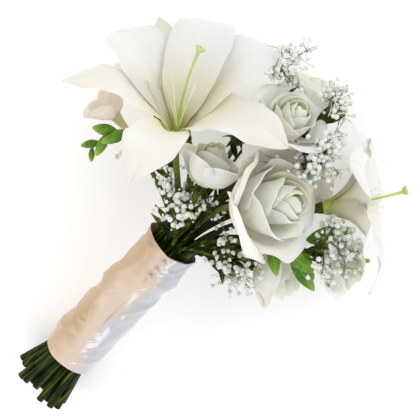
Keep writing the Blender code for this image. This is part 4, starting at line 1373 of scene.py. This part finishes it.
@dataclass(frozen=True)
class Blossom:
    """One double blossom of baby's breath, of radius 1, which the sprays repeat."""

    tiers: tuple = ((6, -8, 0.95), (6, 28, 1.0), (4, 60, 0.95))
    core: tuple = ((0, -0.45), (0.55, -0.2), (0.72, 0.2), (0.5, 0.65), (0, 0.85))

    def petal(self) -> Shell:
        """A small closed petal along +X."""
        claw, sides = (0.05, 0, 0), ((0.66, -0.42, 0.10), (0.66, 0.42, 0.10))
        points = np.array([claw, *sides, (0.96, 0.0, 0.0), (0.5, 0, -0.2)])
        faces = [(0, 1, 2), (1, 3, 2), (0, 4, 1), (1, 4, 3), (3, 4, 2), (2, 4, 0)]
        return points, faces

    def build(self) -> bpy.types.Object:
        """Builds the blossom as a plain object, away from the scene's collection."""
        points, faces = turned_shell(rounded_profile(self.core, 6, 1.0, 1.0), 7)
        points, count = [points], len(points)
        for tier, (petals, lift, reach) in enumerate(self.tiers):
            for n in range(petals):
                shell, base = self.petal()
                turn = Matrix.Rotation(2 * math.pi * (n + 0.5 * tier) / petals, 4, "Z")
                turn = turn @ Matrix.Rotation(-math.radians(lift), 4, "Y")
                points.append(carried(shell * reach, turn))
                faces += [tuple(i + count for i in face) for face in base]
                count += len(shell)
        mesh = bpy.data.meshes.new("blossom")
        mesh.from_pydata(np.concatenate(points).tolist(), [], faces)
        mesh.materials.append(SHELF.take(Finish.BLOSSOM))
        return bpy.data.objects.new("blossom", mesh)


@dataclass
class BabyBreath:
    """A spray of baby's breath on thin twigs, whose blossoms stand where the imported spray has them."""

    name: str
    crown: Point
    facing: Point
    reach: float
    blossoms: int
    seed: int
    stems: int = 1
    outposts: tuple[Point, ...] = ()
    leaves: int = 8
    floret: float = 2.8 * MM
    per_branch: float = 3.5
    lines: Skeleton = field(default_factory=Skeleton)

    def away(self, draw: random.Random, lean: float) -> Vector:
        """A direction drawn at random, leaning forwards."""
        scatter = Vector([draw.gauss(0, 1) for _ in range(3)]).normalized()
        return (Vector(self.facing).normalized() * lean + scatter).normalized()

    def branches(self, draw: random.Random, fork: Vector, solid: Solid) -> list[Vector]:
        """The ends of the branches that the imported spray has.

        Args:
            draw: What the branches are drawn with.
            fork: Where they part.
            solid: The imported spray.

        Returns:
            Their ends, the crown first.
        """
        size = self.reach * MM
        ends = [mm(self.crown)]
        for _ in range(60):
            end = fork + self.away(draw, 0.9) * size * draw.uniform(0.5, 0.9)
            inside = min(solid.depth(fork.lerp(end, s)) for s in (0.5, 0.7, 0.9))
            if len(ends) <= self.blossoms / self.per_branch and inside > 0.15 * MM:
                ends.append(end)
        return ends

    def twigs(self, draw: random.Random, fork: Vector, ends: list[Vector], solid: Solid) -> list[tuple]:
        """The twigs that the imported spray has.

        Args:
            draw: What the twigs are drawn with.
            fork: Where the branches part.
            ends: The branches' ends.
            solid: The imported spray.

        Returns:
            The start and end of each.
        """
        size = self.reach * MM
        found: list[tuple[Vector, Vector]] = []
        for k in range(self.blossoms * 30):
            start = fork.lerp(ends[k % len(ends)], draw.uniform(0.6, 1.0))
            end = start + self.away(draw, 0.5) * size * draw.uniform(0.35, 0.6)
            apart = all((end - other).length > 2.4 * self.floret for _, other in found)
            if len(found) < self.blossoms and apart and solid.depth(end) > 0.35 * self.floret:
                found.append((start, end))
        return found

    def bent(self, start: Vector, end: Vector, bow: Vector, radius: float, bloom: float) -> None:
        """Adds a thin bent twig with a blossom at its end."""
        shares = np.linspace(0, 1, 7)
        path = [start.lerp(end, s) + bow * math.sin(math.pi * s) for s in shares]
        self.lines.line(path, [radius * (1 - 0.4 * s) for s in shares], bloom)

    def side_twigs(self, draw: random.Random, start: Vector, end: Vector, crowd: list[Solid]) -> None:
        """Adds smaller blossoms and buds beside a twig.

        Args:
            draw: What they are drawn with.
            start: Where the twig starts.
            end: Where it ends.
            crowd: The solids that they keep clear of.
        """
        for _ in range(11):
            foot = start.lerp(end, draw.uniform(0.0, 0.95))
            head = foot + self.away(draw, 0.35) * draw.uniform(5.0, 15.0) * MM
            bloom = draw.choice((2.8, 2.7, 2.5, 2.3, 2.0, 1.2)) * MM
            bow = Vector([draw.uniform(-1.6, 1.6) for _ in range(3)]) * MM
            if all(solid.clear([head, foot.lerp(head, 0.6)], bloom + 0.3 * MM) for solid in crowd):
                self.bent(foot, head, bow, 0.22 * MM, bloom)

    def reach_out(self, draw: random.Random, fork: Vector, ends: list[Vector], crowd: list[Solid]) -> None:
        """Adds the long thin twigs whose ends carry loose clusters of blossoms.

        Args:
            draw: What the twigs are drawn with.
            fork: Where the branches part.
            ends: The branches' ends, of which the nearest bears the twig.
            crowd: The solids that small twigs keep clear of.
        """
        for spot in self.outposts:
            end = mm(spot)
            bow = Vector([draw.uniform(-4.0, 4.0) for _ in range(3)]) * MM
            start = min((fork.lerp(tip, 0.8) for tip in ends), key=lambda p: (p - end).length)
            self.bent(start, end, bow, 0.35 * MM, 2.4 * MM)
            self.side_twigs(draw, start.lerp(end, 0.6), end, crowd)

    def foliage(self, draw: random.Random, corners: list[Vector], crowd: list[Solid]) -> MeshDraft:
        """The narrow leaves that stand along the stalk, clear of the other stems.

        Args:
            draw: What the leaves are drawn with.
            corners: The stalk's way from the bundle.
            crowd: The solids that the leaves keep clear of.

        Returns:
            A draft of the leaves.
        """
        draft = MeshDraft()
        for _ in range(self.leaves * 6):
            shares = np.array([0.0, 0.04]) + draw.uniform(0.25, 0.95)
            foot, ahead = (Vector(p) for p in bezier(corners, shares))
            heading = (ahead - foot).normalized() + 0.75 * self.away(draw, 0.0)
            length = draw.uniform(16, 36)
            path = [foot + heading.normalized() * length * MM * s for s in (0.5, 0.75, 1.0)]
            if draft.count < self.leaves * 130 and all(solid.clear(path, 1.0 * MM) for solid in crowd):
                blade = LeafBlade(length, draw.uniform(1.6, 3.2), draw.uniform(0, 5))
                blade.add_to(draft, foot, heading, 12, 4)
        return draft

    def build(self, blossom: bpy.types.Object, crowd: list[Solid]) -> None:
        """Builds the spray.

        Args:
            blossom: What its twigs bear.
            crowd: The flowers' solids, which small twigs keep clear of.
        """
        draw, extra = random.Random(self.seed), random.Random(1000 + self.seed)
        solid = Solid(self.name)
        axis = Vector(self.facing).normalized()
        fork = mm(self.crown) - axis * self.reach * MM * 0.5
        ends = self.branches(draw, fork, solid)
        twigs = self.twigs(draw, fork, ends, solid)
        first, *others = BUNDLE.ways(solid, fork, axis, self.stems)
        stalk = Skeleton()
        stalk.line(*BUNDLE.stem(first, STALK_FOOT, 1.1 * MM, [mm(self.crown)], 0.6 * MM))
        for corners in others:
            stalk.line(*BUNDLE.stem(corners, STALK_FOOT, 1.1 * MM))
        for end in ends[1:]:
            self.bent(fork, end, Vector((0, 0, 0)), 0.7 * MM, 0.0)
        for start, end in twigs:
            bow = Vector([extra.uniform(-0.5, 0.5) for _ in range(3)]) * MM
            self.bent(start, end, bow, 0.42 * MM, self.floret)
            self.side_twigs(extra, start, end, crowd)
        self.reach_out(extra, fork, ends, crowd)
        leaves = self.foliage(extra, first, crowd)
        parts = [
            GROWTH.grow(self.name, self.lines, 6, Finish.TWIG, blossom, self.seed),
            GROWTH.grow(self.name + "_stalk", stalk, STALK_SIDES, Finish.STEM),
        ]
        if leaves.count:
            parts.append(leaves.object(self.name + "_leaves", [Finish.STEM]))
        log.info("%s has %d of %d blossoms", self.name, len(twigs), self.blossoms)
        seat(joined(self.name + "_grown", parts), self.name)


# The handle


@dataclass
class SatinWrap:
    """The satin round the stems: one cloth that goes round and laps over itself at the pins."""

    length: float = 135 * MM
    radius: float = 22.8 * MM
    ripple: float = 0.75 * MM
    seam: float = math.radians(-10.9)
    lap: float = math.radians(38)
    thick: float = 0.45 * MM
    rows: int = 190
    cols: int = 250

    def surface_radius(self, x: np.ndarray, angle: float) -> np.ndarray:
        """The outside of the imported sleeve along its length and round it."""
        share = -x / self.length
        roll = np.sin(2 * math.pi * 2.6 * share + 1.4 * math.sin(angle + 0.5))
        roll += 0.6 * np.sin(2 * math.pi * 4.3 * share - 2 * angle)
        return self.radius + self.ripple * roll

    def rim(self, angle: float) -> float:
        """How far the upper rim stands above its middle: two scallops that meet at the pins."""
        off = (angle - self.seam + math.pi) % (2 * math.pi) - math.pi
        return (2.5 * abs(math.sin(off)) + 1.2 * math.cos(off) - 1.0 * math.sin(angle)) * MM

    def creases(self, share: np.ndarray, angle: float) -> np.ndarray:
        """Broad slanted folds that run round the handle, with finer creases between them.

        Args:
            share: Where along the sleeve, from 0 to 1.
            angle: Where round it.

        Returns:
            How far the cloth stands out there.
        """
        u, v = share * self.length / MM, angle * self.radius / MM
        warp = 0.8 * np.sin(0.055 * u + 0.04 * v) + 0.5 * np.sin(0.12 * u - 0.07 * v + 1.3)
        broad = np.sin(0.15 * u - 0.12 * v + 1.3 * warp)
        ridge = np.sqrt(0.03 + np.sin(0.115 * u - 0.085 * v + 1.2 * warp + 0.4) ** 2)
        cross = np.sqrt(0.05 + np.sin(0.085 * u + 0.070 * v + 1.4 * warp) ** 2)
        fine = np.sin(0.50 * u - 0.22 * v + 1.9 * warp) * (0.5 + 0.5 * np.sin(0.09 * u + 0.13 * v))
        return (0.60 * broad + 1.3 * (1 - ridge) ** 2 + 1.0 * (1 - cross) ** 2 + 0.26 * fine) * MM

    def build(self) -> None:
        start, end = self.seam - self.lap, self.seam + 2 * math.pi
        angles = np.linspace(start, end, self.cols)
        t = np.linspace(0, 1, self.rows)
        grid = np.zeros((self.rows, self.cols, 3))
        painted_light_sides = np.zeros((self.rows, self.cols))
        for j, angle in enumerate(angles):
            x = self.rim(angle) * (1 - t) ** 2 - self.length * t
            under = 1 - smooth((angle - start) / (self.lap + 0.2))
            over = smooth((angle - end + self.lap) / self.lap)
            radius = self.surface_radius(x, angle) - 0.3 * MM - 0.6 * MM * under + 0.2 * MM * over
            lifted = (1 - under) * (1 - 0.85 * smooth((angle - end + 0.4) / 0.35))
            radius += self.creases(t, angle) * lifted
            grid[:, j] = np.column_stack([x, radius * math.sin(angle), radius * math.cos(angle)])
            # Which side of the handle a point faces, which places the painted warm light and painted cool
            # shade on the satin.
            painted_light_sides[:, j] = 0.42 + 0.75 * math.sin(angle + 0.25) + 0.12 * np.sin(9 * t + 2 * angle)
        shell, along, across = blade_shell(grid[:, ::-1], np.full(grid.shape[:2], self.thick))
        draft = MeshDraft()
        draft.add(shell, along=along, across=across, tone=np.tile(painted_light_sides[:, ::-1].ravel(), 2))
        cloth = draft.object("satin_sleeve_cloth", [Finish.SATIN])
        seat(cloth, "satin_sleeve")


@dataclass
class PearlPin:
    """A corsage pin: a pearl with a small seat on a steel shank."""

    name: str
    x: float
    wrap: SatinWrap
    pearl: float = 2.4 * MM
    shank: float = 0.4 * MM
    reach: float = 9 * MM

    def build(self) -> None:
        """Builds the pearl, its seat and the shank."""
        angle = self.wrap.seam
        out = Vector((0, math.sin(angle), math.cos(angle)))
        seat_radius = float(self.wrap.surface_radius(np.array(self.x), angle)) + 0.4 * MM
        place = placement(Vector((self.x, 0, 0)) + out * seat_radius, out, (1, 0, 0))
        turns = np.linspace(0, math.pi, 26)
        ball = np.column_stack([self.pearl * np.sin(turns), self.pearl * (1 - np.cos(turns))])
        ball[[0, -1], 0] = 0
        cup = rounded_profile(((0, -0.1), (1.0, -0.05), (1.35, 0.25), (1.0, 0.4), (0, 0.4)), 12, MM, MM)
        rod = np.array([(0, -self.reach), (0.15 * MM, -self.reach), (self.shank, 1 * MM - self.reach),
                        (self.shank, self.pearl), (0, self.pearl)])
        draft = MeshDraft()
        draft.add(turned_shell(ball, 36), place)
        draft.add(turned_shell(cup, 28), place, slot=1)
        draft.add(turned_shell(rod, 14), place, slot=1)
        seat(draft.object(self.name + "_polished", [Finish.PEARL, Finish.STEEL]), self.name)


# The studio


@dataclass(frozen=True)
class Studio:
    """A pale floor, soft lights and the camera that looks down on the bouquet."""

    distance: float = 3.2
    lens: float = 342.9
    toward: Point = (0.407, 0.0, 0.914)
    right: Point = (0.635, -0.719, -0.283)
    target: Point = (53.96, -2.06, 16.46)
    floor_size: float = 6.0

    def floor(self) -> None:
        """Lays the floor, which isn't part of the bouquet."""
        mesh = bpy.data.meshes.new("floor")
        h = self.floor_size / 2
        mesh.from_pydata([(-h, -h, 0), (h, -h, 0), (h, h, 0), (-h, h, 0)], [], [(0, 1, 2, 3)])
        mesh.materials.append(SHELF.take(Finish.FLOOR))
        floor = bpy.data.objects.new("floor", mesh)
        bpy.context.scene.collection.objects.link(floor)

    def lamp(self, name: str, place: Point, size: float, power: float, colour: Colour) -> None:
        """Hangs a square area light that looks at the bouquet.

        Args:
            name: Its name.
            place: Where it hangs, in metres.
            size: The length of its side.
            power: Its power in watts.
            colour: Its colour.
        """
        light = bpy.data.lights.new(name, "AREA")
        light.size = size
        light.energy = power
        light.color = colour
        lamp = bpy.data.objects.new(name, light)
        lamp.location = place
        lamp.rotation_euler = (-Vector(place)).to_track_quat("-Z", "Y").to_euler()
        bpy.context.scene.collection.objects.link(lamp)

    def lights(self) -> None:
        """Sets the soft key, the warm fill, the glint on the satin and the pale surroundings."""
        self.lamp("key", (1.25, -0.25, 1.25), 0.9, 7, (0.95, 0.97, 1.0))
        self.lamp("fill", (-1.0, 1.3, 0.9), 1.2, 6, (1.0, 0.84, 0.66))
        self.lamp("glint", (-1.04, -1.40, 0.98), 0.6, 6, (0.92, 0.96, 1.0))
        world = bpy.data.worlds.new("pale")
        world.use_nodes = True
        background = world.node_tree.nodes["Background"]
        background.inputs["Color"].default_value = (0.97, 0.98, 1.0, 1)
        background.inputs["Strength"].default_value = 0.82
        bpy.context.scene.world = world
        bpy.context.scene.view_settings.view_transform = "Standard"

    def camera(self) -> None:
        """Sets the camera that the scene is seen with."""
        turn = REST.to_3x3()
        back = (turn @ Vector(self.toward)).normalized()
        right = turn @ Vector(self.right)
        right = (right - right.dot(back) * back).normalized()
        data = bpy.data.cameras.new("camera")
        data.lens = self.lens
        camera = bpy.data.objects.new("camera", data)
        basis = Matrix((right, back.cross(right), back)).transposed().to_4x4()
        camera.matrix_world = Matrix.Translation(REST @ mm(self.target) + back * self.distance) @ basis
        bpy.context.scene.collection.objects.link(camera)
        bpy.context.scene.camera = camera

    def build(self) -> None:
        """Builds the floor, the lights and the camera."""
        self.floor()
        self.lights()
        self.camera()


# The pieces of this bouquet

LILIES = (
    Lily("lily_front", (
        Tepal(123, 122, 25, (26, 54, 130), 0.9), Tepal(71, 131, 25, (22, 47, 138), 0.9),
        Tepal(36, 126, 25, (26, 54, 124), 0.9), Tepal(-24, 112, 25, (26, 70, 128), 0.8),
        Tepal(-112, 106, 24, (26, 76, 116), 0.2), Tepal(166, 114, 17, (24, 64, 120), 0.6),
    ), 0.42, (86, 56, 35), (0.797, 0.499, 0.346), (0.635, -0.719, -0.283), 90, 14),
    Lily("lily_side", (
        Tepal(5, 102, 18, (24, 72, 168), 0.7), Tepal(62, 90, 25, (20, 60, 128), 0.7),
        Tepal(122, 92, 18, (24, 62, 118), 0.7), Tepal(182, 92, 24, (20, 62, 130), 0.7),
        Tepal(242, 90, 18, (24, 60, 116), 0.7), Tepal(308, 94, 25, (20, 58, 122), 0.7),
    ), 0.42, (115, -66, -5), (0.72, -0.60, -0.20), (0.657, 0.695, -0.293), 66, 5),
    Lily("lily_back", (
        Tepal(0, 80, 15, (18, 32, 56), 0.6), Tepal(60, 98, 20, (14, 11, 30), 0.6),
        Tepal(120, 94, 17, (18, 34, 80), 0.6), Tepal(180, 88, 21, (15, 30, 58), 0.6),
        Tepal(240, 86, 15, (18, 34, 60), 0.6), Tepal(300, 90, 21, (15, 30, 66), 0.6),
    ), 0.8, (66, 58, -34), (0.40, 0.91, -0.04), (0.0, 0.2, 1.0), 62, 4),
)

ROSES = (
    Rose("rose_front", Fullness.FULL, (102, -30, 38), (0.78, -0.50, 0.38), 44, 1.25, 20),
    Rose("rose_top", Fullness.HALF, (152, 1, 8), (0.94, 0.10, 0.32), 34, 1.0, 50),
    Rose("rose_cup", Fullness.LIGHT, (80, 21, 18), (0.93, 0.30, -0.22), 30, 1.05, 100),
    Rose("rose_low", Fullness.HALF, (43, -74, -4), (0.35, -0.93, -0.10), 32, 1.05, 0),
    Rose("rose_edge", Fullness.LIGHT, (84, -108, -14), (0.45, -0.86, 0.22), 30, 1.05, 40),
    Rose("rose_tip", Fullness.LIGHT, (156, 2, -44), (0.90, 0.05, -0.40), 32, 1.0, 70),
    Rose("rose_under_left", Fullness.LIGHT, (98, 26, -60), (0.62, 0.26, -0.74), 31, 0.95, 10),
    Rose("rose_under_right", Fullness.LIGHT, (98, -46, -58), (0.62, -0.38, -0.68), 31, 0.95, 30),
)

SPRIGS = (
    LeafySprig("leaf_sprig_front", ((64, -50, 18), (74, -56, 22), (80, -64, 25), (78, -76, 26)), (
        (0.30, (-0.5, -0.8, 0.35), 26, 5.0, 2),
        (0.62, (0.15, -0.95, 0.10), 34, 6.0, 4),
        (0.94, (-0.30, -0.92, -0.15), 36, 6.0, 4),
    )),
    LeafySprig("leaf_sprig_left", ((50, 44, -50), (62, 60, -54), (72, 72, -56), (80, 82, -56)), (
        (0.20, (0.1, 0.9, 0.3), 44, 9.0, 8),
        (0.60, (0.7, 0.4, -0.4), 42, 8.5, 6),
        (0.95, (0.6, 0.6, -0.5), 34, 8.0, 6),
    )),
    LeafySprig("leaf_sprig_right", ((50, -52, -44), (60, -66, -48), (68, -80, -50), (76, -90, -48)), (
        (0.20, (-0.1, -0.9, 0.3), 42, 9.0, 8),
        (0.60, (0.8, -0.5, 0.0), 40, 8.0, 6),
        (0.95, (0.3, -0.9, -0.2), 40, 8.0, 6),
    )),
)

SPRAYS = (
    BabyBreath("baby_breath_collar", (46, 14, 22), (0.75, 0.05, 0.65), 30, 10, 11, 2,
               ((47, 40, 19), (45, 24, 26), (56, 4, 23), (56, -9, 19), (44, 50, 2)), 26),
    BabyBreath("baby_breath_low", (36, -46, 18), (0.45, -0.70, 0.50), 27, 7, 12, 2,
               ((45, -26, 17), (33, -50, 18), (28, -68, 14), (52, -17, 16), (52, -61, 21)), 26),
    BabyBreath("baby_breath_edge", (104, -98, 14), (0.60, -0.70, 0.40), 28, 8, 13, 1,
               ((118, -80, 15), (119, -98, 11), (96, -113, 12), (77, -112, 14), (113, -112, 4))),
    BabyBreath("baby_breath_heart", (152, -36, 20), (0.50, -0.30, 0.80), 30, 9, 14, 1,
               ((120, -1, 32), (118, 7, 24), (163, -38, 19), (155, -56, 18), (162, -25, 20))),
    BabyBreath("baby_breath_top", (180, 36, -2), (0.80, 0.35, 0.25), 26, 6, 15, 1,
               ((167, 35, 2), (178, 22, -3), (174, 13, -5))),
    BabyBreath("baby_breath_tip", (186, -22, -8), (0.95, -0.20, 0.05), 24, 6, 16, 1,
               ((183, -8, -14), (171, -31, -4))),
    BabyBreath("baby_breath_left", (42, 70, -28), (0.10, 0.95, -0.25), 26, 6, 17),
    BabyBreath("baby_breath_under", (124, -8, -66), (0.80, 0.0, -0.50), 26, 6, 18, leaves=24),
)

PIN_PLACES = (-4 * MM, -13 * MM, -22 * MM)


def main() -> None:
    """Builds every piece in order."""
    logging.basicConfig(level=logging.INFO, format="%(message)s")
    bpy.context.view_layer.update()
    Studio().build()
    crowd = [Solid(node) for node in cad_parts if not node.startswith("baby_breath")]
    for flower in (*LILIES, *ROSES):
        flower.build()
    Freesia().build()
    for sprig in SPRIGS:
        sprig.build()
    blossom = Blossom().build()
    for spray in SPRAYS:
        spray.build(blossom, crowd)
    wrap = SatinWrap()
    wrap.build()
    for k, x in enumerate(PIN_PLACES):
        PearlPin(f"pearl_pin_{k + 1}", x, wrap).build()
    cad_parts["binding_tape"].data.materials[0] = SHELF.take(Finish.TAPE)


if __name__ == "__main__":
    main()
